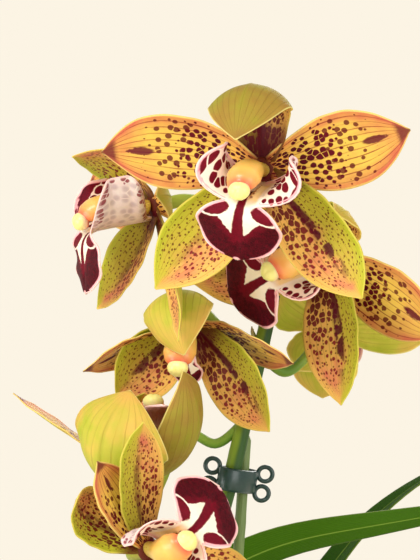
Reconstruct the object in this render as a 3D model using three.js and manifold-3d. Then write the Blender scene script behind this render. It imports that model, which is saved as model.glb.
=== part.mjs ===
// A potted cymbidium orchid: one arching spray of spotted blooms over three leafy growths in a plain pot.
// Millimetres. The origin is on the ground under the pot, +Z is up, +X is to the right, -Y is the front.
import * as THREE from "three";
import Module from "manifold-3d";

const wasm = await Module();
wasm.setup();

// Pot and bark
const POT_HEIGHT = 140;
const POT_FOOT = 58;
const POT_WAIST = 76;
const POT_RIM = 84;
const POT_WALL = 3.6;
const POT_SIDES = 26;
const POT_FLOOR = 5;
const RIM_START = 116;
const DRAIN_RADIUS = 6;
const DRAIN_RING = 35;
const DRAINS = 4;
const BARK_TOP = 126;
const BARK_MOUND = 4;
const BARK_CHUNKS = 22;
const CHUNK = [17, 11, 9];
const GAP = 0.35;

// Blooms
const TEPAL_THICK = 0.9;
const TEPAL_STEPS = 5;
const LIP_THICK = 0.9;
const LIP_STEPS = 8;
const LIP_CELLS = 6;
const HUB = [4.2, 4.2, 1.8];
const PETAL_WIDTH = 26;
const SEPAL_WIDTH = 26;
const LIP_LENGTH = 43;
const LIP_LOBE = 14.3;
const SIDE_LOBE = 20;
const COLUMN_RADIUS = 5.4;
const COLUMN_FOOT = [0, 0.3, 2.2, 3.1];
const LIP_FOOT = [0, -4, 2.4];

// Spray
const RACHIS_RADIUS = 2.9;
const PEDICEL_RADIUS = 1.7;
const OVARY_RADIUS = 2.3;
const STAKE_RADIUS = 2;

// The stake and its clip
const STAKE_FOOT = [-4, 16, 70];
const STAKE_TOP = [24.5, 11, 506];
const CLIP_AT = [21.4, 7.6, 491];
const CLIP_LENGTH = 20.4;
const CLIP_WIDTH = 11.6;
const CLIP_THICK = 1.2;
const CLIP_TALL = 8;
const CLIP_TURN = 62;
const CLIP_LEAN = 11;
const CLIP_CURLS = [[-9.3, -3.7, 3.4], [-9.3, -3.7, -3.4], [9.3, 3.7, 3.4], [9.3, 3.7, -3.4]];

// Leaves
const LEAF_THICK = 1;
const LEAF_STEPS = 9;

const rad = (degrees) => (degrees * Math.PI) / 180;
const vec = (x, y, z) => new THREE.Vector3(x, y, z);

function smooth(x) {
  const c = Math.min(1, Math.max(0, x));
  return c * c * (3 - 2 * c);
}

function seeded(seed) {
  let state = seed;
  return () => {
    state = (state * 16807) % 2147483647;
    return state / 2147483647;
  };
}

function finish(name, geometry, colour, roughness) {
  const material = new THREE.MeshStandardMaterial({ color: colour, roughness, metalness: 0 });
  const mesh = new THREE.Mesh(geometry, material);
  mesh.name = name;
  return mesh;
}

function toManifold(geometry) {
  const flat = geometry.index ? geometry.toNonIndexed() : geometry;
  const source = flat.attributes.position;
  const keys = new Map();
  const points = [];
  const faces = [];
  for (let i = 0; i < source.count; i += 3) {
    const corner = [0, 1, 2].map((k) => {
      const p = [source.getX(i + k), source.getY(i + k), source.getZ(i + k)];
      const key = p.map((v) => Math.round(v * 1e4)).join();
      if (!keys.has(key)) {
        keys.set(key, points.length / 3);
        points.push(...p);
      }
      return keys.get(key);
    });
    if (corner[0] !== corner[1] && corner[1] !== corner[2] && corner[2] !== corner[0]) faces.push(...corner);
  }
  return new wasm.Manifold(
    new wasm.Mesh({ numProp: 3, vertProperties: new Float32Array(points), triVerts: new Uint32Array(faces) }),
  );
}

function fromManifold(solid) {
  const mesh = solid.getMesh();
  const geometry = new THREE.BufferGeometry();
  geometry.setAttribute("position", new THREE.BufferAttribute(new Float32Array(mesh.vertProperties), 3));
  geometry.setIndex(new THREE.BufferAttribute(new Uint32Array(mesh.triVerts), 1));
  const flat = geometry.toNonIndexed();
  flat.computeVertexNormals();
  return flat;
}

function joined(geometries) {
  const all = geometries.map(toManifold).reduce((sum, one) => sum.add(one));
  return all.decompose().reduce((most, one) => (one.volume() > most.volume() ? one : most));
}

// A closed blade: rows of points with normals, given half the thickness on both sides.
function sheet(rows, thick) {
  const positions = [];
  const index = [];
  const across = rows[0].length;
  const half = thick / 2;
  [half, -half].forEach((shift) => {
    rows.flat().forEach(({ p, n }) => positions.push(...p.clone().addScaledVector(n, shift).toArray()));
  });
  const under = rows.length * across;
  const at = (i, j) => i * across + j;
  for (let i = 0; i + 1 < rows.length; i++) {
    for (let j = 0; j + 1 < across; j++) {
      const [a, b, c, d] = [at(i, j), at(i, j + 1), at(i + 1, j + 1), at(i + 1, j)];
      index.push(a, b, c, a, c, d);
      index.push(a + under, c + under, b + under, a + under, d + under, c + under);
    }
  }
  const rim = [];
  for (let j = 0; j + 1 < across; j++) rim.push([at(0, j), at(0, j + 1)]);
  for (let i = 0; i + 1 < rows.length; i++) rim.push([at(i, across - 1), at(i + 1, across - 1)]);
  for (let j = across - 1; j > 0; j--) rim.push([at(rows.length - 1, j), at(rows.length - 1, j - 1)]);
  for (let i = rows.length - 1; i > 0; i--) rim.push([at(i, 0), at(i - 1, 0)]);
  rim.forEach(([a, b]) => index.push(b, a, a + under, b, a + under, b + under));
  const geometry = new THREE.BufferGeometry();
  geometry.setAttribute("position", new THREE.Float32BufferAttribute(positions, 3));
  geometry.setIndex(index);
  return geometry.toNonIndexed();
}

// A closed stem: rings of the given radii along a smooth line of stations [x, y, z, radius].
function stem(stations, sides, steps, flatten = 1) {
  const line = new THREE.CatmullRomCurve3(stations.map(([x, y, z]) => vec(x, y, z)), false, "centripetal");
  const radiusAt = (t) => {
    const s = t * (stations.length - 1);
    const i = Math.min(stations.length - 2, Math.floor(s));
    return stations[i][3] + (stations[i + 1][3] - stations[i][3]) * (s - i);
  };
  const rings = [];
  let side = null;
  for (let i = 0; i <= steps; i++) {
    const t = i / steps;
    const p = line.getPoint(t);
    const along = line.getTangent(t);
    if (!side) side = Math.abs(along.x) < 0.8 ? vec(1, 0, 0) : vec(0, 1, 0);
    side = side.addScaledVector(along, -side.dot(along)).normalize().clone();
    const up = along.clone().cross(side);
    const ring = [];
    for (let k = 0; k < sides; k++) {
      const a = (2 * Math.PI * k) / sides;
      const r = radiusAt(t);
      const across = side.clone().multiplyScalar(r * Math.cos(a));
      ring.push(p.clone().add(across).addScaledVector(up, r * flatten * Math.sin(a)));
    }
    rings.push({ ring, middle: p });
  }
  const out = [];
  const face = (a, b, c) => out.push(...a.toArray(), ...b.toArray(), ...c.toArray());
  for (let i = 0; i < steps; i++) {
    for (let k = 0; k < sides; k++) {
      const l = (k + 1) % sides;
      const [a, b, c, d] = [rings[i].ring[k], rings[i].ring[l], rings[i + 1].ring[l], rings[i + 1].ring[k]];
      face(a, b, c);
      face(a, c, d);
    }
  }
  for (let k = 0; k < sides; k++) {
    const l = (k + 1) % sides;
    face(rings[0].middle, rings[0].ring[l], rings[0].ring[k]);
    face(rings[steps].middle, rings[steps].ring[k], rings[steps].ring[l]);
  }
  const geometry = new THREE.BufferGeometry();
  geometry.setAttribute("position", new THREE.Float32BufferAttribute(out, 3));
  return geometry;
}

// The outline of a tepal: half width as a share of the widest, from the base to the pointed tip.
function tepalOutline(t, base, widest) {
  if (t < widest) return base + (1 - base) * Math.sin((Math.PI / 2) * (t / widest));
  return Math.pow(Math.cos((Math.PI / 2) * Math.pow((t - widest) / (1 - widest), 1.25)), 0.95);
}

// The middle line of a tepal in the bloom's own axes: it leaves the hub at an angle above the face and bends.
function middleLine(shape, steps) {
  const { azimuth, lift, bend, from, to, length, start, sway } = shape;
  const fine = 12;
  const stations = [];
  const p = start.clone();
  for (let i = 0; i <= steps * fine; i++) {
    const t = i / (steps * fine);
    const angle = rad(lift + bend * smooth((t - from) / (to - from)));
    const around = rad(azimuth + sway * (t - 0.5));
    const outward = vec(Math.cos(around), Math.sin(around), 0);
    const along = outward.clone().multiplyScalar(Math.cos(angle)).add(vec(0, 0, Math.sin(angle)));
    const inner = outward.clone().multiplyScalar(-Math.sin(angle)).add(vec(0, 0, Math.cos(angle)));
    if (i % fine === 0) stations.push({ t, p: p.clone(), along, inner });
    p.addScaledVector(along, length / (steps * fine));
  }
  return stations;
}

// Turns a wished tip place into the lift, azimuth and length of the middle line that ends there.
function reachTip(shape, tip) {
  const flat = { ...shape, azimuth: 0, lift: 0, length: 1, start: vec(0, 0, 0), sway: 0 };
  const end = middleLine(flat, 8)[8].p;
  const rise = tip.z - shape.rise;
  const azimuth = (Math.atan2(tip.y, tip.x) * 180) / Math.PI;
  const radius = Math.hypot(tip.x, tip.y) - shape.hub;
  const lift = ((Math.atan2(rise, radius) - Math.atan2(end.z, end.x)) * 180) / Math.PI;
  const length = Math.hypot(rise, radius) / Math.hypot(end.x, end.z);
  return { azimuth, lift, length };
}

function tepal(spec, toLocal) {
  const shape = {
    azimuth: 0, lift: 0, bend: 20, from: 0, to: 1, length: 46, sway: 0, hub: 2.4, rise: 0,
    width: SEPAL_WIDTH, cup: 50, fold: 0, roll: 0, base: 0.3, widest: 0.52, steps: TEPAL_STEPS, ...spec,
  };
  if (spec.tip) Object.assign(shape, reachTip(shape, vec(...spec.tip).applyMatrix4(toLocal)));
  const around = rad(shape.azimuth);
  shape.start = vec(Math.cos(around) * shape.hub, Math.sin(around) * shape.hub, shape.rise);
  const cells = shape.cells || (shape.cup > 60 ? 4 : 2);
  const turn = rad(shape.roll);
  const rows = middleLine(shape, shape.steps).map(({ t, p, along, inner }) => {
    const side = along.clone().cross(inner);
    const across = side.clone().multiplyScalar(Math.cos(turn)).addScaledVector(inner, Math.sin(turn));
    const up = inner.clone().multiplyScalar(Math.cos(turn)).addScaledVector(side, -Math.sin(turn));
    const half = Math.max(0.55, (shape.width / 2) * tepalOutline(t, shape.base, shape.widest));
    const curl = rad(shape.cup / 2) * Math.sin(Math.PI * (0.12 + 0.8 * t)) + 1e-4;
    const crease = rad(shape.fold) * Math.sin(Math.PI * Math.min(1, t + 0.1));
    return sectionRow(p, across, up, half, curl, crease, cells);
  });
  return sheet(rows, TEPAL_THICK);
}

// Points across a blade: from a crease in the middle each half curls like an arc.
function sectionRow(p, across, up, half, curl, crease, cells) {
  const row = [];
  for (let j = 0; j <= cells; j++) {
    const u = (2 * j) / cells - 1;
    const a = Math.abs(u);
    const angle = crease + curl * a;
    const out = (half * (Math.sin(angle) - Math.sin(crease))) / curl;
    const rise = (half * (Math.cos(crease) - Math.cos(angle))) / curl;
    const sign = Math.sign(u);
    const n = up.clone().multiplyScalar(Math.cos(angle)).addScaledVector(across, -sign * Math.sin(angle));
    if (u === 0) n.copy(up);
    row.push({ p: p.clone().addScaledVector(across, sign * out).addScaledVector(up, rise), n });
  }
  return row;
}

// The lip: a claw, two side lobes that stand up beside the column, and a broad middle lobe that turns down.
function lip(spec) {
  const shape = {
    azimuth: -90, lift: 92, bend: -112, from: 0.4, to: 0.7, size: 1, lobe: LIP_LOBE, side: SIDE_LOBE,
    hug: 205, open: 0.34, flare: -30, foot: LIP_FOOT, ...spec,
  };
  const placed = { ...shape, length: LIP_LENGTH * shape.size, sway: 0, start: vec(...shape.foot) };
  const line = middleLine(placed, LIP_STEPS);
  const rows = line.map(({ t, p, along, inner }) => {
    const across = along.clone().cross(inner);
    const sideLobe = Math.exp(-Math.pow((t - 0.29) / 0.22, 6)) * shape.side;
    const round = Math.min(1, Math.max(0, (t - 0.5) / 0.5));
    const middle = Math.pow(Math.max(0, Math.sin(Math.PI * Math.pow(round, 0.9))), 0.44);
    const half = Math.max(2.2, 2.6 + 12 * t * (1 - t), sideLobe, middle * shape.lobe) * Math.sqrt(shape.size);
    const hugging = rad(shape.hug / 2) * (1 - smooth((t - shape.open) / 0.28));
    const curl = hugging + rad(shape.flare / 2) * smooth((t - 0.54) / 0.2);
    return sectionRow(p, across, inner, half, curl * Math.min(1, 0.4 + 3 * t) + 1e-4, 0, LIP_CELLS);
  });
  return sheet(rows, LIP_THICK);
}

// The column: an arched body over the lip that ends in a rounded cap.
function column(foot = COLUMN_FOOT) {
  const stations = [foot, [0, 2, 8, 3.6], [0, 3.6, 15, 5], [0, 3.2, 21, COLUMN_RADIUS], [0, 1.4, 26, 4]];
  const body = stem(stations, 6, 4, 0.78);
  const cap = new THREE.SphereGeometry(1, 6, 4);
  cap.scale(3.6, 3, 2.8);
  cap.translate(0, 0.4, 26.5);
  return fromManifold(joined([body, cap]));
}

function facing({ at, yaw = 0, pitch = 0, roll = 0 }) {
  const turn = new THREE.Matrix4().makeRotationZ(rad(yaw));
  turn.multiply(new THREE.Matrix4().makeRotationX(rad(90 - pitch)));
  turn.multiply(new THREE.Matrix4().makeRotationZ(rad(-roll)));
  return turn.setPosition(...at);
}

// The five tepals every bloom has before its own changes.
const USUAL = {
  dorsal: { azimuth: 90, lift: 10, bend: 70, from: 0.2, to: 1, length: 44, width: 28, cup: 80 },
  left: { azimuth: 168, lift: 8, bend: 12, length: 46, width: PETAL_WIDTH, rise: 0.6, cup: 35 },
  right: { azimuth: 12, lift: 8, bend: 12, length: 46, width: PETAL_WIDTH, rise: 0.6, cup: 35 },
  lowLeft: { azimuth: 231, lift: 12, bend: 25, length: 44, cup: 50, fold: 8 },
  lowRight: { azimuth: -51, lift: 12, bend: 25, length: 44, cup: 50, fold: 8 },
};

// Each bloom: where its hub is, how it faces, and how its own tepals differ. Tips are places in the part.
const BLOOMS = {
  top: {
    at: [29, -48, 596], yaw: -18, pitch: -18,
    dorsal: { tip: [20, -76, 604], bend: 150, from: 0.14, to: 0.84, width: 33, cup: 120 },
    left: { tip: [-24, -38, 602], sway: 25 },
    right: { tip: [76, -62, 608], sway: 8 },
    lowLeft: { tip: [-6, -38, 557] },
    lowRight: { tip: [61, -56, 554] },
    lip: { azimuth: -103, open: 0.27, size: 1.03 },
  },
  left: {
    at: [-7, -5, 585], yaw: -72, pitch: -12,
    dorsal: { tip: [-35, -6, 602], bend: 60, cup: 40 },
    left: { tip: [-31, 34, 594] },
    right: { tip: [-6, -26, 588], bend: 90, width: 16 },
    lowLeft: { tip: [-27, 6, 550] },
    lowRight: { tip: [1.5, -39, 540], width: 20 },
    lip: { lift: 91, bend: -84, side: 24, lobe: 15.5 },
  },
  right: {
    at: [50, -6, 569], yaw: -45, pitch: -14, roll: 55,
    dorsal: { tip: [54, -22, 582], bend: 120, cup: 60, width: 18 },
    left: { tip: [20, -10, 590], width: 20 },
    right: { tip: [89, -26, 541] },
    lowLeft: { tip: [6, 3, 559] },
    lowRight: { tip: [56, -20, 518], width: 29 },
    lip: { azimuth: -101, bend: -94, size: 0.96, lobe: 15.5 },
  },
  middle: {
    at: [5, 5, 545], yaw: -10, pitch: -34, column: [0, 0.3, 2.6, 2.9],
    dorsal: { tip: [-1, -21, 534], bend: 130, from: 0.1, to: 0.8, width: 29, cup: 105, sway: 30, base: 0.24 },
    left: { tip: [-31, -10, 529], width: 18, roll: 30, base: 0.16 },
    right: { tip: [40, -20, 532], width: 20, roll: -20, base: 0.22 },
    lowLeft: { tip: [-20, -6, 520] },
    lowRight: { tip: [32, -17, 509] },
    lip: { size: 0.5, side: 6, lobe: 8, lift: 80, bend: -90 },
  },
  upturned: {
    at: [-8, -18, 494], yaw: 8, pitch: 72, column: [0, 0.3, 2.6, 2.9],
    dorsal: { azimuth: 95, lift: 15, bend: 120, length: 38, width: 22 },
    left: { tip: [-54, -20, 522], width: 16, cup: 15, roll: -16 },
    right: { azimuth: 20, lift: 50, bend: 50, length: 36, width: 18, base: 0.16 },
    lowLeft: { azimuth: 226, lift: -4, bend: 154, length: 59, width: 46, cup: 110, base: 0.18, widest: 0.62 },
    lowRight: { tip: [3, -35, 530], bend: 85, width: 32, cup: 95, base: 0.2 },
    lip: { size: 0.74, foot: [0, -4.9, 3.6], lift: 92, bend: -60, from: 0.5, to: 0.8, side: 10, lobe: 7.5 },
  },
  low: {
    at: [-8, -44, 472], yaw: 30, pitch: 12, roll: -135,
    lowRight: { tip: [-9, -64, 515], width: 19, sway: -16 },
    right: { tip: [-24, -62, 502], width: 17 },
    dorsal: { tip: [-30, -62, 491], bend: 90, width: 20 },
    lowLeft: { tip: [30, -50, 455] },
    left: { tip: [18, -45, 436] },
  },
  back: {
    at: [53, 28, 544], yaw: 172, pitch: 0, lip: { size: 0.7 },
    dorsal: { tip: [58, 34, 575] },
    left: { tip: [94, 30, 545], width: 22 },
    right: { tip: [36, 20, 556], width: 22 },
    lowLeft: { tip: [52, 34, 518] },
    lowRight: { tip: [43, 22, 528], width: 18 },
  },
  lowest: {
    at: [44, -20, 424], yaw: 34, pitch: -14, roll: 6,
  },
};

const SHADES = {
  tepals: 0xcfae3c,
  lip: 0x7d1c33,
  column: 0xf0bd5c,
};

// The spray: the leaning main stem, the stalk of each bloom and the small bracts at their feet.
const RACHIS = [
  [-6, 6, 112, 3.6], [-5, 7, 180, 3.5], [2, 8, 300, 3.2], [9, 7, 400, 3], [14, 5, 470, RACHIS_RADIUS],
  [20, 4, 495, 2.8], [26, 4, 521, 2.7], [32, 6, 547, 2.6], [36, 8, 566, 2.3], [37, 8, 585, 1.9],
  [35, 4, 597, 1.6],
];

// Where each stalk leaves the main stem, the way it goes, and how far behind the hub it straightens.
const STALKS = {
  top: { foot: [35, 5, 594], by: [[33, -12, 600]] },
  left: { foot: [36.5, 8, 578], by: [[22, 8, 584]] },
  right: { foot: [36, 8, 562], by: [[48, 16, 562]] },
  middle: { foot: [30, 5, 538], by: [[20, 8, 540]] },
  upturned: { foot: [24, 4, 511], by: [[14, 6, 503.5], [4, 7, 507], [-5, 4, 490]] },
  low: { foot: [16, 5, 480], by: [[6, 2, 470], [-4, -6, 462]] },
  back: { foot: [29, 5, 535], by: [[38, 10, 528], [46, 14, 534]] },
  lowest: { foot: [10, 7, 412], by: [[24, 6, 404]] },
};

function stalk(name) {
  const { foot, by } = STALKS[name];
  const place = facing(BLOOMS[name]);
  const behind = (z) => vec(0, 0, z).applyMatrix4(place).toArray();
  const line = [[...foot, PEDICEL_RADIUS], ...by.map((p) => [...p, PEDICEL_RADIUS])];
  line.push([...behind(-11), OVARY_RADIUS], [...behind(-2.3), OVARY_RADIUS]);
  return stem(line, 5, 4 + by.length);
}

function bract(at, azimuth, length) {
  const blade = tepal({ azimuth: 0, lift: 62, bend: 20, length, width: 7, cup: 90, base: 0.7, widest: 0.2,
    hub: 1, steps: 3, cells: 2 });
  blade.applyMatrix4(new THREE.Matrix4().makeRotationZ(rad(azimuth)).setPosition(...at));
  return blade;
}

const STEM_SCALES = [[-5, 7, 170, 200], [-1, 8, 240, 20], [5, 8, 330, 190]];

function spray() {
  const bits = [stem(RACHIS, 6, 16)];
  Object.keys(STALKS).forEach((name) => bits.push(stalk(name)));
  STEM_SCALES.forEach(([x, y, z, azimuth]) => bits.push(bract([x, y, z], azimuth, 26)));
  return fromManifold(joined(bits));
}

// Each growth: a bulb and its arching leaves. A leaf is [azimuth, rise, droop, length, sway, width], and
// may add a twist in degrees and the shares of its length between which it turns over.
const GROWTHS = {
  left: {
    at: [-34, -8], radius: 21, tall: 74,
    leaves: [
      [128, 76, -30, 380, 20, 24], [156, 80, -44, 390, -14, 25], [176, 70, -54, 345, 10, 24],
      [196, 79, -26, 355, 12, 25], [222, 74, -48, 370, -16, 24], [246, 64, -46, 300, 12, 22],
    ],
  },
  right: {
    at: [33, 2], radius: 21, tall: 78,
    leaves: [
      [-64, 68, -46, 330, 10, 23], [-42, 79, -36, 370, -12, 25], [-18, 72, -52, 360, 14, 24],
      [5, 84, -22, 390, 8, 26], [24, 75, -44, 370, 12, 24],
    ],
  },
  behind: {
    at: [2, 44], radius: 17, tall: 66,
    leaves: [
      [-12, 94, 10, 431, 14, 24.7, -66, [0.503, 0.831]], [25, 83, 18, 389, 3, 22.6, 11, [0.54, 1.024]],
      [54, 74, -40, 350, 8, 23], [80, 81, -26, 380, -10, 25], [112, 74, -50, 340, 12, 24],
    ],
  },
};

function leaf([azimuth, rise, droop, length, sway, width, twist = 0, turning = null], root) {
  const p = vec(...root);
  const fine = 10;
  const rows = [];
  for (let i = 0; i <= LEAF_STEPS * fine; i++) {
    const t = i / (LEAF_STEPS * fine);
    const around = rad(azimuth + sway * t * t);
    const bent = turning ? smooth((t - turning[0]) / (turning[1] - turning[0])) : Math.pow(t, 1.7);
    const climb = rad(rise + (droop - rise) * bent);
    const out = vec(Math.cos(around), Math.sin(around), 0);
    const along = out.clone().multiplyScalar(Math.cos(climb)).add(vec(0, 0, Math.sin(climb)));
    if (i % fine === 0) {
      const turn = rad(twist) * smooth(t / 0.7);
      const flat = vec(Math.sin(around), -Math.cos(around), 0).applyAxisAngle(along, turn);
      const up = flat.clone().cross(along);
      const taper = Math.pow(1 - Math.pow(t, 2.4), 0.8);
      const half = Math.max(0.6, (width / 2) * (0.55 + 0.45 * smooth(t / 0.35)) * taper);
      const crease = rad(38 - 22 * smooth(t / 0.5));
      rows.push(sectionRow(p.clone(), flat, up, half, 0.01, crease, 2));
    }
    p.addScaledVector(along, length / (LEAF_STEPS * fine));
  }
  return sheet(rows, LEAF_THICK);
}

// Half the outline of a bulb as shares of its radius and height, with the neck that the leaves leave.
const BULB_OUTLINE = [
  [0, 0], [0.62, 0.02], [0.86, 0.14], [1, 0.34], [0.88, 0.6], [0.6, 0.84], [0.4, 1.02], [0.3, 1.2], [0, 1.24],
];
const BULB_FOOT = 104;
const BULB_SIDES = 10;

function bulbShape(radius, tall, grow) {
  const points = BULB_OUTLINE.map(([r, z]) => {
    const end = z < 0.1 ? -grow : z > 0.9 ? grow : 0;
    return new THREE.Vector2(r ? r * radius + grow : 0, z * tall + end);
  });
  const shape = new THREE.LatheGeometry(points, BULB_SIDES);
  shape.rotateX(Math.PI / 2);
  return shape;
}

function growth({ at: [x, y], radius, tall, leaves }) {
  const bulb = bulbShape(radius, tall, 0);
  bulb.translate(x, y, BULB_FOOT);
  const blades = leaves.map((one) => {
    const around = rad(one[0]);
    const reach = one[1] > 85 ? 1 : radius * 0.28;
    return leaf(one, [x + reach * Math.cos(around), y + reach * Math.sin(around), BULB_FOOT + tall * 0.8]);
  });
  return fromManifold(joined([bulb, ...blades]));
}

function pot() {
  const slope = (POT_WAIST - POT_FOOT) / RIM_START;
  const outline = [
    [0, 0], [POT_FOOT - 3, 0], [POT_FOOT - 1, 1.5], [POT_FOOT + slope * 4, 4], [POT_WAIST, RIM_START],
    [POT_RIM - 3, RIM_START + 2], [POT_RIM - 1, RIM_START + 5], [POT_RIM, POT_HEIGHT - 3],
    [POT_RIM - 1.2, POT_HEIGHT], [POT_RIM - POT_WALL, POT_HEIGHT], [POT_RIM - POT_WALL - 1, POT_HEIGHT - 2],
    [POT_WAIST - POT_WALL, RIM_START], [POT_FOOT - POT_WALL, POT_FLOOR + 1],
    [POT_FOOT - POT_WALL - 1, POT_FLOOR], [0, POT_FLOOR],
  ];
  const body = new THREE.LatheGeometry(outline.map(([r, z]) => new THREE.Vector2(r, z)), POT_SIDES);
  body.rotateX(Math.PI / 2);
  let solid = toManifold(body);
  for (let i = 0; i < DRAINS; i++) {
    const hole = new THREE.CylinderGeometry(DRAIN_RADIUS, DRAIN_RADIUS, POT_FLOOR * 4, 12);
    hole.rotateX(Math.PI / 2);
    const a = rad(45 + (360 / DRAINS) * i);
    hole.translate(DRAIN_RING * Math.cos(a), DRAIN_RING * Math.sin(a), 0);
    solid = solid.subtract(toManifold(hole));
  }
  return fromManifold(solid);
}

// The bark filling, with rough chunks on top and a plain hole for every stem and bulb.
function bark() {
  const between = (z, [r0, z0], [r1, z1]) => r0 - POT_WALL + ((r1 - r0) * (z - z0)) / (z1 - z0);
  const low = POT_FLOOR + 1 + GAP;
  const lowWall = between(low, [POT_FOOT, POT_FLOOR + 1], [POT_WAIST, RIM_START]);
  const topWall = between(BARK_TOP, [POT_WAIST, RIM_START], [POT_RIM - 1, POT_HEIGHT - 2]);
  const outline = [
    [0, POT_FLOOR + GAP], [POT_FOOT - POT_WALL - 2, POT_FLOOR + GAP], [lowWall - GAP, low],
    [POT_WAIST - POT_WALL - GAP, RIM_START], [topWall - 2 * GAP, BARK_TOP - 1], [topWall - 3, BARK_TOP],
    [0, BARK_TOP + BARK_MOUND],
  ];
  const body = new THREE.LatheGeometry(outline.map(([r, z]) => new THREE.Vector2(r, z)), POT_SIDES);
  body.rotateX(Math.PI / 2);
  const random = seeded(71);
  const bits = [body];
  for (let i = 0; i < BARK_CHUNKS; i++) {
    const r = (POT_WAIST - 16) * Math.sqrt((i + 0.5) / BARK_CHUNKS);
    const a = i * 2.39996 + 0.5 * random();
    const chunk = new THREE.BoxGeometry(...CHUNK.map((v) => v * (0.7 + 0.6 * random())));
    chunk.rotateX(0.9 * (random() - 0.5));
    chunk.rotateY(0.9 * (random() - 0.5));
    chunk.rotateZ(6.28 * random());
    chunk.translate(r * Math.cos(a), r * Math.sin(a), BARK_TOP + BARK_MOUND * (1 - r / POT_WAIST));
    bits.push(chunk);
  }
  let solid = joined(bits);
  Object.values(GROWTHS).forEach(({ at: [x, y], radius, tall }) => {
    const room = bulbShape(radius, tall, 0.5);
    room.translate(x, y, BULB_FOOT);
    const open = new THREE.CylinderGeometry(radius * 0.92, radius * 0.92, 30, 12);
    open.rotateX(Math.PI / 2);
    open.translate(x, y, BULB_FOOT + tall * 0.3 + 20);
    solid = solid.subtract(toManifold(room)).subtract(toManifold(open));
  });
  const stemHole = new THREE.CylinderGeometry(RACHIS[0][3] + 0.8, RACHIS[0][3] + 0.8, 60, 8);
  stemHole.rotateX(Math.PI / 2);
  stemHole.translate(RACHIS[0][0], RACHIS[0][1], RACHIS[0][2] + 29.5);
  solid = solid.subtract(toManifold(stemHole)).subtract(toManifold(rod(STAKE_RADIUS + 0.45, 0.5)));
  return fromManifold(solid);
}

// The stake stands behind the stem, and one clip with four curled handles holds both.
function rod(radius, extra) {
  const foot = vec(...STAKE_FOOT);
  const along = vec(...STAKE_TOP).sub(foot);
  const length = along.length() + 2 * extra;
  const shape = new THREE.CylinderGeometry(radius, radius, length, 8);
  shape.rotateX(Math.PI / 2);
  shape.applyQuaternion(new THREE.Quaternion().setFromUnitVectors(vec(0, 0, 1), along.clone().normalize()));
  shape.translate(...foot.addScaledVector(along, 0.5).toArray());
  return shape;
}

function clip() {
  const band = new THREE.Shape();
  band.absellipse(0, 0, CLIP_LENGTH / 2, CLIP_WIDTH / 2, 0, 2 * Math.PI);
  const inside = new THREE.Path();
  inside.absellipse(0, 0, CLIP_LENGTH / 2 - CLIP_THICK, CLIP_WIDTH / 2 - CLIP_THICK, 0, 2 * Math.PI, true);
  band.holes.push(inside);
  const ring = new THREE.ExtrudeGeometry(band, { depth: CLIP_TALL, bevelEnabled: false, curveSegments: 6 });
  ring.translate(0, 0, -CLIP_TALL / 2);
  ring.rotateZ(rad(CLIP_TURN));
  const curls = CLIP_CURLS.map(([x, y, z]) => {
    const curl = new THREE.TorusGeometry(2.5, 0.8, 4, 7);
    curl.rotateX(Math.PI / 2);
    curl.translate(x, y, z);
    return curl;
  });
  const shape = fromManifold(joined([ring, ...curls]));
  shape.rotateY(rad(CLIP_LEAN));
  shape.translate(...CLIP_AT);
  return shape;
}

const whole = new THREE.Group();
whole.name = "potted_cymbidium";

Object.entries(BLOOMS).forEach(([name, bloom]) => {
  const place = facing(bloom);
  const toLocal = place.clone().invert();
  const hub = new THREE.SphereGeometry(1, 6, 4);
  hub.rotateX(Math.PI / 2);
  hub.scale(...HUB);
  const blades = Object.keys(USUAL).map((key) => tepal({ ...USUAL[key], ...bloom[key] }, toLocal));
  const tepals = fromManifold(joined([hub, ...blades]));
  const parts = [
    finish(`bloom_${name}_tepals`, tepals, SHADES.tepals, 0.5),
    finish(`bloom_${name}_lip`, lip(bloom.lip || {}), SHADES.lip, 0.55),
    finish(`bloom_${name}_column`, column(bloom.column), SHADES.column, 0.45),
  ];
  parts.forEach((mesh) => {
    mesh.geometry.applyMatrix4(place);
    whole.add(mesh);
  });
});

whole.add(finish("pot", pot(), 0xb4623c, 0.75));
whole.add(finish("potting_bark", bark(), 0x5a3a22, 0.95));
Object.entries(GROWTHS).forEach(([name, one]) => {
  whole.add(finish(`growth_${name}`, growth(one), 0x4f7f2a, 0.5));
});
whole.add(finish("flower_spray", spray(), 0x4c7a2c, 0.5));
whole.add(finish("stake", rod(STAKE_RADIUS, 0), 0x6f8a4a, 0.6));
whole.add(finish("stem_clip", clip(), 0x1d4a44, 0.4));

export default whole;
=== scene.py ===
from math import atan2, cos, degrees, hypot, pi, radians, sin, sqrt

import bmesh
import bpy
import numpy as np
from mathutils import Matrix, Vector


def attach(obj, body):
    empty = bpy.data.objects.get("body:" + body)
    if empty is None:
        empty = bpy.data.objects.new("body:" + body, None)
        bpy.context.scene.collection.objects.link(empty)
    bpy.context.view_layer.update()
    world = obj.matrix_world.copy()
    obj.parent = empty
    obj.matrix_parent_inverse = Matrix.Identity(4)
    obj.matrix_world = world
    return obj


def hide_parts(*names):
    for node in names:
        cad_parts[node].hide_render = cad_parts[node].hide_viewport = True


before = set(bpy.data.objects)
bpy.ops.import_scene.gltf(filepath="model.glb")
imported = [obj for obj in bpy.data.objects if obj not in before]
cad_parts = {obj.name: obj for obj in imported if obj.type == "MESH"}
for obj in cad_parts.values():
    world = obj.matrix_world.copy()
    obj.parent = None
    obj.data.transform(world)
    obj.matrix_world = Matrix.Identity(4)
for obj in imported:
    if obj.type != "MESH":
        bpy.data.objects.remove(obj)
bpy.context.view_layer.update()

# Everything is worked out in millimetres and handed to Blender in metres.
MM = 0.001
UP = np.array([0, 0, 1.0])
# Waves start at a random phase up to this, in radians.
PHASE_RANGE = 6.28

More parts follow.
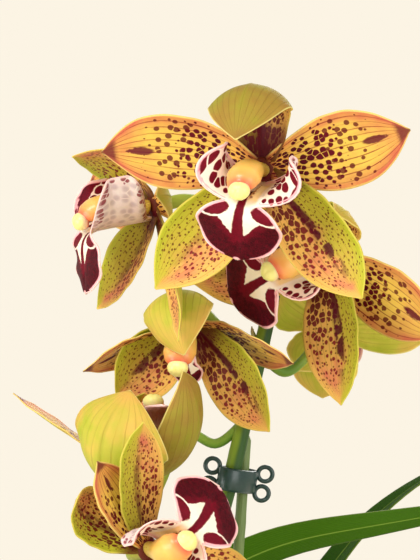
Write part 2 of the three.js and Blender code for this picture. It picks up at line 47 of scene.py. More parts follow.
# Blooms
TEPAL_THICK, TEPAL_ROWS, TEPAL_CELLS = 0.85, 44, 26
TEPAL_WAVE, TEPAL_RIPPLE, TEPAL_GROOVE = 0.55, 0.16, 0.3
PETAL_WIDTH = SEPAL_WIDTH = 26
LIP_THICK, LIP_ROWS, LIP_CELLS = 0.8, 64, 44
LIP_WAVE, LIP_DIP = 0.7, 0.5
LIP_LENGTH, LIP_CLAW, LIP_LOBE, SIDE_LOBE = 43, 2.2, 14.3, 20
KEEL_AT, KEEL_HEIGHT = 2.6, 1.3
COLUMN_RADIUS = 5.4
COLUMN_FOOT = (0, 0.3, 2.2, 3.1)
CAP_AT, CAP_RADII = (0, 0.4, 26.5), (3.6, 3, 2.8)
HUB = (4.2, 4.2, 1.8)
BLOOM_SEED, BRACT_SEED, GROWTH_SEED, BARK_SEED = 40, 60, 70, 7

# Spray, stake and clip
PEDICEL_RADIUS, OVARY_RADIUS = 1.7, 2.3
OVARY_START, OVARY_END = -11, -2.3
SMALL_BRACT, STEM_BRACT = (9, 5), (26, 7)
STAKE_RADIUS = 2
STAKE_FOOT, STAKE_TOP = (-4, 16, 70), (24.5, 11, 506)
STAKE_KNOTS = (0.2, 0.46, 0.71, 0.93)
CLIP_AT, CLIP_TURN, CLIP_LEAN = (21.4, 7.6, 491), 62, 11
CLIP_LENGTH, CLIP_WIDTH, CLIP_THICK, CLIP_TALL = 20.4, 11.6, 1.2, 8
CURL_RADIUS, CURL_WIRE = 2.5, 0.8
CURLS = [(side * 9.3, side * 3.7, z) for side in (-1, 1) for z in (3.4, -3.4)]

# Leaves and bulbs
LEAF_THICK, LEAF_ROWS, LEAF_CELLS = 0.9, 70, 14
LEAF_WAVE, FOLD_AT_FOOT, FOLD_AT_TIP = 0.5, 38, 16
BULB_FOOT, BULB_RIDGES, RIDGE_HEIGHT = 104, 22, 0.22
SHEATH_THICK, SHEATH_ROWS, SHEATH_CELLS = 0.45, 26, 23
SHEATHS = [(0.27, 0.8), (0.3, 1), (0.33, 1.16)]

# Pot and bark
POT_HEIGHT, POT_FOOT, POT_WAIST, POT_RIM, POT_WALL, POT_FLOOR, RIM_START = 140, 58, 76, 84, 3.6, 5, 116
DRAIN_RADIUS, DRAIN_RING, DRAINS = 6, 35, 4
BARK_TOP, BARK_MOUND, BARK_CHIPS, CHIP_SIZE = 126, 4, 300, (15, 10, 6)
AXIS, POT_SIDES = 0.01, 128
# No chip lies where the stake goes in, given as (x, y, radius).
STAKE_GAP = (-1, 15.5, 7)

# The camera stands where the photograph was taken from.
CAMERA_AT, CAMERA_LENS, SENSOR_WIDTH = (0.012, -0.9, 0.56), 168.7, 36
# Lamps, each with where it stands, what it aims at, its size in metres, its power in watts and its colour
LAMPS = {
    "key": ((-0.75, -1.25, 1.6), (0.02, 0, 0.52), 0.6, 17, (1, 0.98, 0.94)),
    "fill": ((1.3, -1.3, 0.7), (0.02, 0, 0.5), 1.2, 12, (1, 1, 1)),
    "low": ((-1.4, -0.8, 0.2), (0, 0, 0.54), 1, 15, (1, 1, 1)),
    "rim": ((0.5, 1.4, 1.3), (0, 0, 0.4), 0.9, 10, (1, 1, 1)),
}
FLOOR_RADIUS, SURROUND_POWER = 3, 0.74
SURROUND_LIGHT, SURROUND_SEEN = (255, 248, 236), (252, 244, 228)

# A tepal leaves the hub at its azimuth, rises by lift and bends inwards by bend between the shares start and
# end of its length. cup curls it across, fold creases it, roll turns it about itself and sway swings it
# sideways. A tip says where it must end. net is how strongly it is marked, from 0 to 1.
TEPAL = dict(azimuth=0, lift=0, bend=20, start=0, end=1, length=46, sway=0, hub=2.4, rise=0,
             width=SEPAL_WIDTH, cup=50, fold=0, roll=0, base=0.3, widest=0.52, net=0.5)
TEPALS = {
    "dorsal": dict(azimuth=90, lift=10, bend=70, start=0.2, length=44, width=28, cup=80),
    "left": dict(azimuth=168, lift=8, bend=12, width=PETAL_WIDTH, rise=0.6, cup=35),
    "right": dict(azimuth=12, lift=8, bend=12, width=PETAL_WIDTH, rise=0.6, cup=35),
    "low_left": dict(azimuth=231, lift=12, bend=25, length=44, fold=8),
    "low_right": dict(azimuth=-51, lift=12, bend=25, length=44, fold=8),
}
LIP = dict(azimuth=-90, lift=92, bend=-112, start=0.4, end=0.7, size=1, lobe=LIP_LOBE, side=SIDE_LOBE,
           hug=205, open=0.34, flare=-30, foot=(0, -4, 2.4), sway=0)

# Each bloom: its hub, how it faces and how its tepals and lip differ.
BLOOMS = {
    "top": dict(
        at=(29, -48, 596), yaw=-18, pitch=-18,
        dorsal=dict(tip=(20, -76, 604), bend=150, start=0.14, end=0.84, width=33, cup=120, net=1),
        left=dict(tip=(-24, -38, 602), sway=25, net=0.45), right=dict(tip=(76, -62, 608), sway=8, net=0.7),
        low_left=dict(tip=(-6, -38, 557), net=0.25), low_right=dict(tip=(61, -56, 554), net=0.85),
        lip=dict(azimuth=-103, open=0.27, size=1.03)),
    "left": dict(
        at=(-7, -5, 585), yaw=-72, pitch=-12,
        dorsal=dict(tip=(-35, -6, 602), bend=60, cup=40, net=0.15), left=dict(tip=(-31, 34, 594)),
        right=dict(tip=(-6, -26, 588), bend=90, width=16), low_left=dict(tip=(-27, 6, 550), net=0.4),
        low_right=dict(tip=(1.5, -39, 540), width=20), lip=dict(lift=91, bend=-84, side=24, lobe=15.5)),
    "right": dict(
        at=(50, -6, 569), yaw=-45, pitch=-14, roll=55,
        dorsal=dict(tip=(54, -22, 582), bend=120, cup=60, width=18),
        left=dict(tip=(20, -10, 590), width=20, net=0.6), right=dict(tip=(89, -26, 541), net=0.7),
        low_left=dict(tip=(6, 3, 559)), low_right=dict(tip=(56, -20, 518), width=29, net=1),
        lip=dict(azimuth=-101, bend=-94, size=0.96, lobe=15.5)),
    "middle": dict(
        at=(5, 5, 545), yaw=-10, pitch=-34, column=(0, 0.3, 2.6, 2.9),
        dorsal=dict(tip=(-1, -21, 534), bend=130, start=0.1, end=0.8, width=29, cup=105, sway=30, base=0.24),
        left=dict(tip=(-31, -10, 529), width=18, roll=30, base=0.16, net=0.8),
        right=dict(tip=(40, -20, 532), width=20, roll=-20, base=0.22, net=1),
        low_left=dict(tip=(-20, -6, 520), net=0.7), low_right=dict(tip=(32, -17, 509), net=0.95),
        lip=dict(size=0.5, side=6, lobe=8, lift=80, bend=-90)),
    "upturned": dict(
        at=(-8, -18, 494), yaw=8, pitch=72, column=(0, 0.3, 2.6, 2.9),
        dorsal=dict(azimuth=95, lift=15, bend=120, length=38, width=22),
        left=dict(tip=(-54, -20, 522), width=16, cup=15, roll=-16),
        right=dict(azimuth=20, lift=50, bend=50, length=36, width=18, base=0.16),
        low_left=dict(azimuth=226, lift=-4, bend=154, length=59, width=46, cup=110, base=0.18, widest=0.62,
                      net=0.1),
        low_right=dict(tip=(3, -35, 530), bend=85, width=32, cup=95, base=0.2, net=0.9),
        lip=dict(size=0.74, foot=(0, -4.9, 3.6), lift=92, bend=-60, start=0.5, end=0.8, side=10, lobe=7.5)),
    "low": dict(
        at=(-8, -44, 472), yaw=30, pitch=12, roll=-135,
        low_right=dict(tip=(-9, -64, 515), width=19, sway=-16), right=dict(tip=(-24, -62, 502), width=17),
        dorsal=dict(tip=(-30, -62, 491), bend=90, width=20), low_left=dict(tip=(30, -50, 455)),
        left=dict(tip=(18, -45, 436))),
    "back": dict(
        at=(53, 28, 544), yaw=172, pitch=0, lip=dict(size=0.7), dorsal=dict(tip=(58, 34, 575)),
        left=dict(tip=(94, 30, 545), width=22), right=dict(tip=(36, 20, 556), width=22),
        low_left=dict(tip=(52, 34, 518)), low_right=dict(tip=(43, 22, 528), width=18)),
    "lowest": dict(at=(44, -20, 424), yaw=34, pitch=-14, roll=6),
}

# The main stem as (x, y, z, radius), each flower stalk's way to its bloom, and scales as (x, y, z, azimuth)
RACHIS = [
    (-6, 6, 112, 3.6), (-5, 7, 180, 3.5), (2, 8, 300, 3.2), (9, 7, 400, 3), (14, 5, 470, 2.9),
    (20, 4, 495, 2.8), (26, 4, 521, 2.7), (32, 6, 547, 2.6), (36, 8, 566, 2.3), (37, 8, 585, 1.9),
    (35, 4, 597, 1.6),
]
STALKS = {
    "top": [(35, 5, 594), (33, -12, 600)],
    "left": [(36.5, 8, 578), (22, 8, 584)],
    "right": [(36, 8, 562), (48, 16, 562)],
    "middle": [(30, 5, 538), (20, 8, 540)],
    "upturned": [(24, 4, 511), (14, 6, 503.5), (4, 7, 507), (-5, 4, 490)],
    "low": [(16, 5, 480), (6, 2, 470), (-4, -6, 462)],
    "back": [(29, 5, 535), (38, 10, 528), (46, 14, 534)],
    "lowest": [(10, 7, 412), (24, 6, 404)],
}
STEM_SCALES = [(-5, 7, 170, 200), (-1, 8, 240, 20), (5, 8, 330, 190)]

# A leaf is (azimuth, rise, droop, length, sway, width, twist, the shares between which it turns over).
GROWTHS = {
    "left": dict(at=(-34, -8), radius=21, tall=74, leaves=[
        (128, 76, -30, 380, 20, 24), (156, 80, -44, 390, -14, 25), (176, 70, -54, 345, 10, 24),
        (196, 79, -26, 355, 12, 25), (222, 74, -48, 370, -16, 24), (246, 64, -46, 300, 12, 22)]),
    "right": dict(at=(33, 2), radius=21, tall=78, leaves=[
        (-64, 68, -46, 330, 10, 23), (-42, 79, -36, 370, -12, 25), (-18, 72, -52, 360, 14, 24),
        (5, 84, -22, 390, 8, 26), (24, 75, -44, 370, 12, 24)]),
    "behind": dict(at=(2, 44), radius=17, tall=66, leaves=[
        (-12, 94, 10, 431, 14, 24.7, -66, (0.503, 0.831)), (25, 83, 18, 389, 3, 22.6, 11, (0.54, 1.024)),
        (54, 74, -40, 350, 8, 23), (80, 81, -26, 380, -10, 25), (112, 74, -50, 340, 12, 24)]),
}
# Radius and height of a bulb, as shares of its own
BULB_OUTLINE = [(0, 0), (0.62, 0.02), (0.86, 0.14), (1, 0.34), (0.88, 0.6), (0.6, 0.84), (0.4, 1.02),
                (0.3, 1.2), (0, 1.24)]


# Numbers


def ramp(x, low, high):
    """0 up to low, 1 from high on, and smooth between. low may be the greater of the two."""
    c = np.clip((x - low) / (high - low), 0, 1)
    return c * c * (3 - 2 * c)


def hill(x, middle, width):
    return np.exp(-((x - middle) / width) ** 2)


def unit(v):
    return v / np.maximum(np.linalg.norm(v, axis=-1, keepdims=True), 1e-9)


def pairs(a, b):
    """Two grids of numbers side by side, as a UV layer holds them."""
    return np.stack(np.broadcast_arrays(a, b), -1)


def circle(count):
    return np.linspace(0, 2 * np.pi, count, endpoint=False)


def lengths_along(points):
    return np.concatenate([[0], np.cumsum(np.linalg.norm(np.diff(points, axis=0), axis=1))])


def directions(around, climb):
    """Unit vectors turned round the z axis and raised by climb, and those at right angles above them."""
    out = np.stack([np.cos(around), np.sin(around), np.zeros_like(around)], 1)
    c, s = np.cos(climb)[:, None], np.sin(climb)[:, None]
    return out * c + UP * s, UP * c - out * s


# Meshes. A piece is gathered from parts: points, faces, a material number per face, and UV layers per point.


def part(points, faces, material=0, **layers):
    points = np.asarray(points, float).reshape(-1, 3)
    kinds = np.full(len(faces), material) if np.isscalar(material) else np.asarray(material)
    layers = {key: value.reshape(-1, 2) for key, value in layers.items()}
    return dict(points=points, faces=faces, kinds=kinds, layers=layers)


def grid_faces(rows, columns, wrap=False, loop=False, flip=False):
    """Faces between the points of a grid. wrap closes each row on itself, and loop closes each column."""
    faces = []
    for i in range(rows if loop else rows - 1):
        for j in range(columns if wrap else columns - 1):
            k, after = (j + 1) % columns, (i + 1) % rows
            face = (i * columns + j, i * columns + k, after * columns + k, after * columns + j)
            faces.append(face[::-1] if flip else face)
    return faces


def capped_faces(rows, columns, flip=False):
    """Faces of a stack of rings whose ends close on two more points, which come after those of the rings."""
    faces = grid_faces(rows, columns, wrap=True)
    first, last = rows * columns, (rows - 1) * columns
    for k in range(columns):
        after = (k + 1) % columns
        faces += [(first, after, k), (first + 1, last + k, last + after)]
    return [face[::-1] for face in faces] if flip else faces


def placed(one, matrix):
    one["points"] = one["points"] @ matrix[:3, :3].T + matrix[:3, 3]
    return one


def with_kinds(one, front, back=None):
    one["kinds"] = np.where(one["kinds"] == 0, front, front if back is None else back)
    return one


def add_object(name, data):
    item = bpy.data.objects.new(name, data)
    bpy.context.scene.collection.objects.link(item)
    return item


def make_piece(name, parts, skins, replaces):
    """Joins the parts in one mesh object that rides on the root body."""
    names = sorted({key for one in parts for key in one["layers"]})
    layers = {key: [] for key in names}
    faces, start = [], 0
    for one in parts:
        count = len(one["points"])
        faces += [tuple(start + i for i in face) for face in one["faces"]]
        for key in names:
            layers[key].append(one["layers"].get(key, np.zeros((count, 2))))
        start += count
    mesh = bpy.data.meshes.new(name)
    mesh.from_pydata((np.vstack([one["points"] for one in parts]) * MM).tolist(), [], faces)
    for skin in skins:
        mesh.materials.append(SKINS[skin])
    kinds = np.concatenate([one["kinds"] for one in parts])
    mesh.polygons.foreach_set("material_index", kinds.astype(np.int32))
    mesh.polygons.foreach_set("use_smooth", np.ones(len(faces), bool))
    corner = np.zeros(len(mesh.loops), np.int32)
    mesh.loops.foreach_get("vertex_index", corner)
    for key in names:
        layer = mesh.uv_layers.new(name=key)
        layer.data.foreach_set("uv", np.vstack(layers[key])[corner].astype(np.float32).ravel())
    mesh.update()
    piece = add_object(name, mesh)
    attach(piece, "root")
    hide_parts(*replaces)
    return piece


def blade(middle, normal, thick, **layers):
    """A closed thin blade round a grid of points: its front is material 0 and its back material 1."""
    rows, columns = middle.shape[:2]
    count = rows * columns
    half = normal * np.asarray(thick)[..., None] / 2
    faces = grid_faces(rows, columns)
    faces += [tuple(count + i for i in face) for face in grid_faces(rows, columns, flip=True)]
    cells = (rows - 1) * (columns - 1)
    corners = np.arange(count).reshape(rows, columns)
    rim = [*corners[0, :-1], *corners[:-1, -1], *corners[-1, :0:-1], *corners[:0:-1, 0]]
    faces += [(b, a, a + count, b + count) for a, b in zip(map(int, rim), map(int, rim[1:] + rim[:1]))]
    kinds = [0] * cells + [1] * cells + [0] * len(rim)
    both = {key: np.concatenate([value, value]) for key, value in layers.items()}
    return part(np.concatenate([middle + half, middle - half]), faces, kinds, **both)


def surface_normals(grid, like):
    """Unit normals of a grid of points, on the side that the normals in like are on."""
    n = unit(np.cross(np.gradient(grid, axis=0), np.gradient(grid, axis=1)))
    return n * np.sign((n * like).sum(-1, keepdims=True) + 1e-9)


def pushed(grid, normal, height):
    """The grid moved along its normals, and its new normals."""
    grid = grid + normal * height[..., None]
    return grid, surface_normals(grid, normal)


def ruffle(u, v, height, power, waves, phase):
    """Waves along both edges of a blade, each with its own phase."""
    return height * np.abs(u) ** power * np.sin(v * waves + np.where(u > 0, phase[0], phase[1]))


def middle_line(shape, steps):
    """The middle line of a blade in the bloom's axes. It leaves at an angle to the face, and bends."""
    t = np.linspace(0, 1, steps + 1)
    angle = np.radians(shape["lift"] + shape["bend"] * ramp(t, shape["start"], shape["end"]))
    around = np.radians(shape["azimuth"] + shape["sway"] * (t - 0.5))
    along, inner = directions(around, angle)
    points = np.zeros((steps + 1, 3))
    points[1:] = np.cumsum((along[1:] + along[:-1]) / 2, 0) * shape["length"] / steps
    return t, points + np.asarray(shape["root"], float), along, inner


def reach_tip(shape, tip):
    """Turns a wished tip place into the lift, azimuth and length of the middle line that ends there."""
    flat = dict(shape, azimuth=0, lift=0, length=1, root=(0, 0, 0), sway=0)
    end = middle_line(flat, 96)[1][-1]
    rise = tip[2] - shape["rise"]
    radius = hypot(tip[0], tip[1]) - shape["hub"]
    shape["azimuth"] = degrees(atan2(tip[1], tip[0]))
    shape["lift"] = degrees(atan2(rise, radius) - atan2(end[2], end[0]))
    shape["length"] = hypot(rise, radius) / hypot(end[0], end[2])


def tepal_outline(t, base, widest):
    rising = base + (1 - base) * np.sin(np.pi / 2 * t / widest)
    falling = np.cos(np.pi / 2 * np.clip((t - widest) / (1 - widest), 0, 1) ** 1.25) ** 0.95
    return np.where(t < widest, rising, falling)


def section(point, across, up, half, curl, crease, u):
    """Points and normals across a blade: from a soft crease in the middle each half curls like an arc."""
    a = np.abs(u)
    fine = np.linspace(0, 1, 61)
    angle = crease[:, None] * ramp(fine, 0, 0.12) + curl[:, None] * fine

    def at_cells(rows):
        return np.stack([np.interp(a, fine, row) for row in rows])

    def summed(slopes):
        return np.pad(np.cumsum(slopes[:, 1:] * np.diff(fine), 1), ((0, 0), (1, 0)))

    out = at_cells(summed(np.cos(angle))) * half[:, None] * np.sign(u)
    rise = at_cells(summed(np.sin(angle))) * half[:, None]
    lean = at_cells(angle) * np.sign(u)
    across, up = across[:, None], up[:, None]
    grid = point[:, None] + across * out[..., None] + up * rise[..., None]
    return grid, up * np.cos(lean)[..., None] - across * np.sin(lean)[..., None]


def edge_distance(x, y, half, length):
    """How far each flat point of a blade lies from its outline, in millimetres."""
    rows = np.linspace(0, length, len(half))
    tip = pairs(np.linspace(-half[-1], half[-1], 5), length)
    outline = np.concatenate([pairs(half, rows), pairs(-half, rows), tip])
    points = pairs(x, y).reshape(-1, 1, 2)
    return np.sqrt(((points - outline[None]) ** 2).sum(-1).min(1)).reshape(x.shape)


def tepal(spec, to_local, draw, mirrored=False):
    shape = dict(TEPAL, **spec)
    if "tip" in spec:
        reach_tip(shape, to_local[:3, :3] @ np.array(spec["tip"], float) + to_local[:3, 3])
    around = radians(shape["azimuth"])
    shape["root"] = (cos(around) * shape["hub"], sin(around) * shape["hub"], shape["rise"])
    t, point, along, inner = middle_line(shape, TEPAL_ROWS)
    side = np.cross(along, inner)
    turn = radians(shape["roll"])
    across, up = side * cos(turn) + inner * sin(turn), inner * cos(turn) - side * sin(turn)
    half = np.maximum(0.35, shape["width"] / 2 * tepal_outline(t, shape["base"], shape["widest"]))
    curl = radians(shape["cup"] / 2) * np.sin(np.pi * (0.12 + 0.8 * t)) + 1e-4
    crease = radians(shape["fold"]) * np.sin(np.pi * np.minimum(1, t + 0.1))
    u, v = np.linspace(-1, 1, TEPAL_CELLS + 1), t[:, None]
    grid, normal = section(point, across, up, half, curl, crease, u)
    phase = draw.random(4) * PHASE_RANGE
    wave = ruffle(u, v, TEPAL_WAVE, 3, 9, phase) * ramp(v, 0, 0.25)
    ripple = TEPAL_RIPPLE * np.sin(v * 31 + phase[2] + 2 * u) * u ** 2
    groove = -TEPAL_GROOVE * hill(u, 0, 0.07) * ramp(v, 1, 0.75)
    grid, normal = pushed(grid, normal, (wave + ripple) * ramp(v, 1, 0.85) + groove)
    thick = TEPAL_THICK * (1 - 0.58 * u ** 4) * (0.5 + 0.5 * ramp(v, 1, 0.8))
    x, y = half[:, None] * u, v * shape["length"]
    edge = edge_distance(x, y, half, shape["length"])
    share = (1 - u if mirrored else 1 + u) / 2
    shift = draw.random(2) * 40
    return blade(grid, normal, thick, shape=pairs(share, v), size=pairs(x + shift[0], y + shift[1]),
                 edge=pairs(edge, shape["net"]))


def lip_half_width(t, shape):
    """Half the width of a lip: a claw at its foot, the side lobes, and the middle lobe with a rounded end."""
    claw = np.minimum(LIP_CLAW * np.sqrt(np.clip((1 - t) / 0.02, 0.02, 1)), LIP_CLAW)
    waist = np.where(t < 0.97, 2.6 + 12 * t * (1 - t), 0)
    side_lobe = np.exp(-(((t - 0.29) / 0.22) ** 6)) * shape["side"]
    middle = np.maximum(0, np.sin(np.pi * np.clip((t - 0.5) / 0.5, 0, 1) ** 0.9)) ** 0.44
    return np.maximum.reduce([claw, waist, side_lobe, middle * shape["lobe"]])


def lip(spec, draw):
    shape = dict(LIP, **spec)
    scale = shape["size"]
    shape.update(length=LIP_LENGTH * scale, root=shape["foot"])
    t, point, along, inner = middle_line(shape, LIP_ROWS)
    half = lip_half_width(t, shape) * sqrt(scale)
    hug = 1 - ramp(t, shape["open"], shape["open"] + 0.28)
    curl = radians(shape["hug"] / 2) * hug + radians(shape["flare"] / 2) * ramp(t, 0.54, 0.74)
    curl = curl * np.minimum(1, 0.4 + 3 * t) + 1e-4
    u, v = np.linspace(-1, 1, LIP_CELLS + 1), t[:, None]
    grid, normal = section(point, np.cross(along, inner), inner, half, curl, np.zeros_like(t), u)
    wave = ruffle(u, v, LIP_WAVE, 4, 26, draw.random(2) * PHASE_RANGE) * ramp(v, 0.5, 0.65)
    dip = -LIP_DIP * hill(u, 0, 0.1) * ramp(v, 0.48, 0.58) * ramp(v, 1, 0.85)
    grid, normal = pushed(grid, normal, (wave + dip) * scale)
    x, y = half[:, None] * u / sqrt(scale), v * LIP_LENGTH
    edge = edge_distance(x, y, half / sqrt(scale), LIP_LENGTH)
    one = blade(grid, normal, LIP_THICK * (1 - 0.5 * u ** 4), shape=pairs((1 + u) / 2, v), size=pairs(x, y),
                edge=pairs(edge, 1))
    keel = KEEL_HEIGHT * scale * hill(np.abs(x), KEEL_AT, 1) * ramp(v, 0.12, 0.2) * ramp(v, 0.5, 0.44)
    one["points"][:grid.size // 3] += (normal * keel[..., None]).reshape(-1, 3)
    return one


def catmull(points, t):
    """Points of a centripetal Catmull-Rom line at the shares t of its pieces, and its directions."""
    p = np.asarray(points, float)
    p = np.vstack([2 * p[0] - p[1], p, 2 * p[-1] - p[-2]])
    place = np.clip(t * (len(points) - 1), 0, len(points) - 1 - 1e-6)
    i = place.astype(int)
    s = (place - i)[:, None]
    p0, p1, p2, p3 = p[i], p[i + 1], p[i + 2], p[i + 3]
    d0, d1, d2 = (np.maximum(np.linalg.norm(b - a, axis=1), 1e-6)[:, None] ** 0.5
                  for a, b in ((p0, p1), (p1, p2), (p2, p3)))
    m1 = ((p1 - p0) / d0 - (p2 - p0) / (d0 + d1) + (p2 - p1) / d1) * d1
    m2 = ((p2 - p1) / d1 - (p3 - p1) / (d1 + d2) + (p3 - p2) / d2) * d1
    rise = 3 * s ** 2 - 2 * s ** 3
    at = (1 - rise) * p1 + (s ** 3 - 2 * s ** 2 + s) * m1 + rise * p2 + (s ** 3 - s ** 2) * m2
    way = 6 * (s - s ** 2) * (p2 - p1) + (3 * s ** 2 - 4 * s + 1) * m1 + (3 * s ** 2 - 2 * s) * m2
    return at, unit(way)


def stem(stations, sides, rings, relief=None, flatten=1, seed=0):
    """A closed round stem along a smooth line of stations (x, y, z, radius). relief(t, turn) swells it."""
    t = np.linspace(0, 1, rings + 1)
    at, way = catmull([s[:3] for s in stations], t)
    radius = np.interp(t * (len(stations) - 1), np.arange(len(stations)), [s[3] for s in stations])
    side = np.array([1.0, 0, 0]) if abs(way[0][0]) < 0.8 else np.array([0, 1.0, 0])
    turn = circle(sides)
    points = []
    for i in range(rings + 1):
        side = unit(side - way[i] * (side @ way[i]))
        up = np.cross(way[i], side)
        r = radius[i] * (1 + (relief(t[i], turn) if relief else 0 * turn))
        points.append(at[i] + side * (r * np.cos(turn))[:, None] + up * (r * flatten * np.sin(turn))[:, None])
    length = lengths_along(at)
    shape = pairs(0.5 + 0.5 * np.cos(turn), t[:, None]).reshape(-1, 2)
    size = pairs(turn * 3 + seed, length[:, None]).reshape(-1, 2)
    shape = np.vstack([shape, [[0.5, 0], [0.5, 1]]])
    size = np.vstack([size, [[seed, 0], [seed, length[-1]]]])
    points = np.vstack([*points, at[:1], at[-1:]])
    return part(points, capped_faces(rings + 1, sides), shape=shape, size=size)


def ball(centre, radii, turns=20, rings=12, material=0, dent=None):
    """A closed rounded body; dent(direction) moves its surface in or out."""
    polar, turn = np.linspace(0, np.pi, rings + 1)[1:-1, None], circle(turns)
    way = np.stack([np.sin(polar) * np.cos(turn), np.sin(polar) * np.sin(turn), np.cos(polar) + 0 * turn], -1)
    way = np.vstack([way.reshape(-1, 3), UP, -UP])
    points = way * np.asarray(radii) * (1 + (dent(way) if dent else np.zeros(len(way))))[:, None]
    faces = capped_faces(rings - 1, turns, flip=True)
    shape = way[:, [0, 2]] / 2 + 0.5
    return part(points + np.asarray(centre), faces, material, shape=shape, size=points[:, :2])


def lathe(outline, turns, ridges=None):
    """A body turned round +Z from an outline that starts and ends on the axis or closes on itself."""
    outline = np.asarray(outline, float)
    turn = circle(turns)
    r, z = outline[:, :1] + 0 * turn, outline[:, 1:] + 0 * turn
    if ridges:
        r = r + ridges(z, turn)
    length = lengths_along(outline)
    points = np.stack([r * np.cos(turn), r * np.sin(turn), z], -1)
    shape = pairs(turn / 2 / np.pi, (length / length[-1])[:, None])
    return part(points, grid_faces(len(outline), turns, wrap=True), shape=shape, size=pairs(turn * 70, z))


def rounded_outline(outline, steps=6):
    """The outline with each corner between three points cut round."""
    p = np.asarray(outline, float)
    out = [p[0]]
    for before, at, after in zip(p, p[1:], p[2:]):
        reach = min(1.1, 0.4 * np.linalg.norm(before - at), 0.4 * np.linalg.norm(after - at))
        a, b = at + unit(before - at) * reach, at + unit(after - at) * reach
        out += [(1 - s) ** 2 * a + 2 * s * (1 - s) * at + s * s * b for s in np.linspace(0, 1, steps)]
    return np.array(out + [p[-1]])


# Materials. Colours are given as they look on a screen, from 0 to 255.


def rgb(red, green, blue):
    """A screen colour as Blender's linear colour."""
    share = [c / 255 for c in (red, green, blue)]
    return tuple(c / 12.92 if c <= 0.04045 else ((c + 0.055) / 1.055) ** 2.4 for c in share) + (1,)


class Num:
    """A number that a material works out at each point of the surface."""

    def __init__(self, paint, socket):
        self.paint, self.socket = paint, socket

    def math(self, kind, *others):
        node = self.paint.node("ShaderNodeMath", dict(enumerate((self,) + others)), operation=kind)
        return Num(self.paint, node.outputs[0])

    def __add__(self, other):
        return self.math("ADD", other)

    def __sub__(self, other):
        return self.math("SUBTRACT", other)

    def __rsub__(self, other):
        return self * -1 + other

    def __mul__(self, other):
        return self.math("MULTIPLY", other)

    def __truediv__(self, other):
        return self.math("DIVIDE", other)

    __radd__, __rmul__ = __add__, __mul__

    def size(self):
        return self.math("ABSOLUTE")

    def least(self, other):
        return self.math("MINIMUM", other)

    def most(self, other):
        return self.math("MAXIMUM", other)

    def share(self):
        return self.least(1).most(0)

    def saw(self, width):
        return self.math("PINGPONG", width)

    def step(self, low, high):
        """0 up to low, 1 from high on, and smooth between. low may be the greater of the two."""
        node = self.paint.node("ShaderNodeMapRange", {
            "Value": self, "From Min": min(low, high), "From Max": max(low, high),
            "To Min": float(low > high), "To Max": float(low <= high)}, interpolation_type="SMOOTHSTEP")
        return Num(self.paint, node.outputs["Result"])


class Paint:
    """A material under construction. Its colour starts as a ground, and tints are laid over it."""

    def __init__(self, name):
        self.material = bpy.data.materials.new(name)
        self.material.use_nodes = True
        self.tree = self.material.node_tree
        self.tree.nodes.clear()

    def node(self, kind, inputs=None, **settings):
        """A new node, with its settings and with its inputs by name or number."""
        node = self.tree.nodes.new(kind)
        for name, value in settings.items():
            setattr(node, name, value)
        for name, value in (inputs or {}).items():
            if isinstance(value, (Num, bpy.types.NodeSocket)):
                self.tree.links.new(getattr(value, "socket", value), node.inputs[name])
            else:
                node.inputs[name].default_value = value
        return node

    def split(self, place):
        return [Num(self, out) for out in self.node("ShaderNodeSeparateXYZ", {0: place}).outputs]

    def pair(self, layer):
        """The two numbers of a UV layer."""
        return self.split(self.node("ShaderNodeUVMap", uv_map=layer).outputs[0])[:2]

    def layers(self):
        """Of a blade: shares across and along it, both in millimetres, edge distance, strength of marks."""
        return self.pair("shape") + self.pair("size") + self.pair("edge")

    def place(self, scale=1 / MM):
        """The point in the object's own axes, in millimetres."""
        return [axis * scale for axis in self.split(self.node("ShaderNodeTexCoord").outputs["Object"])]

    def point(self, x, y, z=0):
        return self.node("ShaderNodeCombineXYZ", {0: x, 1: y, 2: z}).outputs[0]

    def noise(self, x, y, z=0, scale=1, detail=2):
        """Soft noise from -1 to 1."""
        inputs = {"Vector": self.point(x, y, z), "Scale": scale, "Detail": detail}
        return (Num(self, self.node("ShaderNodeTexNoise", inputs).outputs[0]) - 0.5) * 3

    def cells(self, x, y, feature="F1"):
        """The distance to the middle of the nearest cell, or to its edge, in cells."""
        inputs = {"Vector": self.point(x, y), "Scale": 1, "Randomness": 0.85}
        node = self.node("ShaderNodeTexVoronoi", inputs, voronoi_dimensions="2D", feature=feature)
        return Num(self, node.outputs["Distance"])

    def marks(self, x, y, radius, soft=0.05, melt=0.0):
        """Round marks in cells. They meet as their radius grows, with a fine gap left where melt is 0."""
        gap = self.cells(x, y, "DISTANCE_TO_EDGE").step(0.015, 0.07)
        return (radius - self.cells(x, y)).step(-soft * 0.4, soft) * gap.most(melt)

    def blend(self, amount, low, high):
        """A mix of two colours, either of them a tuple or an output."""
        low, high = (rgb(*c) if isinstance(c, tuple) else c for c in (low, high))
        return self.node("ShaderNodeMix", {0: amount, 6: low, 7: high}, data_type="RGBA").outputs[2]

    def ground(self, amount, low, high):
        self.colour = self.blend(amount, low, high)

    def tint(self, amount, colour):
        self.colour = self.blend(amount, self.colour, colour)

    def finish(self, height=None, roughness=0.5, bump=0.4, depth=0.4 * MM, glow=0, coat=0, shine=0.5):
        shader = self.node("ShaderNodeBsdfPrincipled", {
            "Base Color": self.colour, "Roughness": roughness, "Specular IOR Level": shine,
            "Subsurface Weight": glow, "Subsurface Radius": (1, 0.5, 0.2), "Subsurface Scale": 1.2 * MM,
            "Coat Weight": coat, "Coat Roughness": 0.25})
        if height is not None:
            relief = self.node("ShaderNodeBump", {"Strength": bump, "Distance": depth, "Height": height})
            self.tree.links.new(relief.outputs[0], shader.inputs["Normal"])
        self.node("ShaderNodeOutputMaterial", {0: shader.outputs[0]})
        return self.material


def veins(u, count, wobble, width=0.1):
    """Fine lines along a blade, 1 on the line."""
    return (u * count + wobble * 0.1).saw(0.5).step(width, width * 0.25)


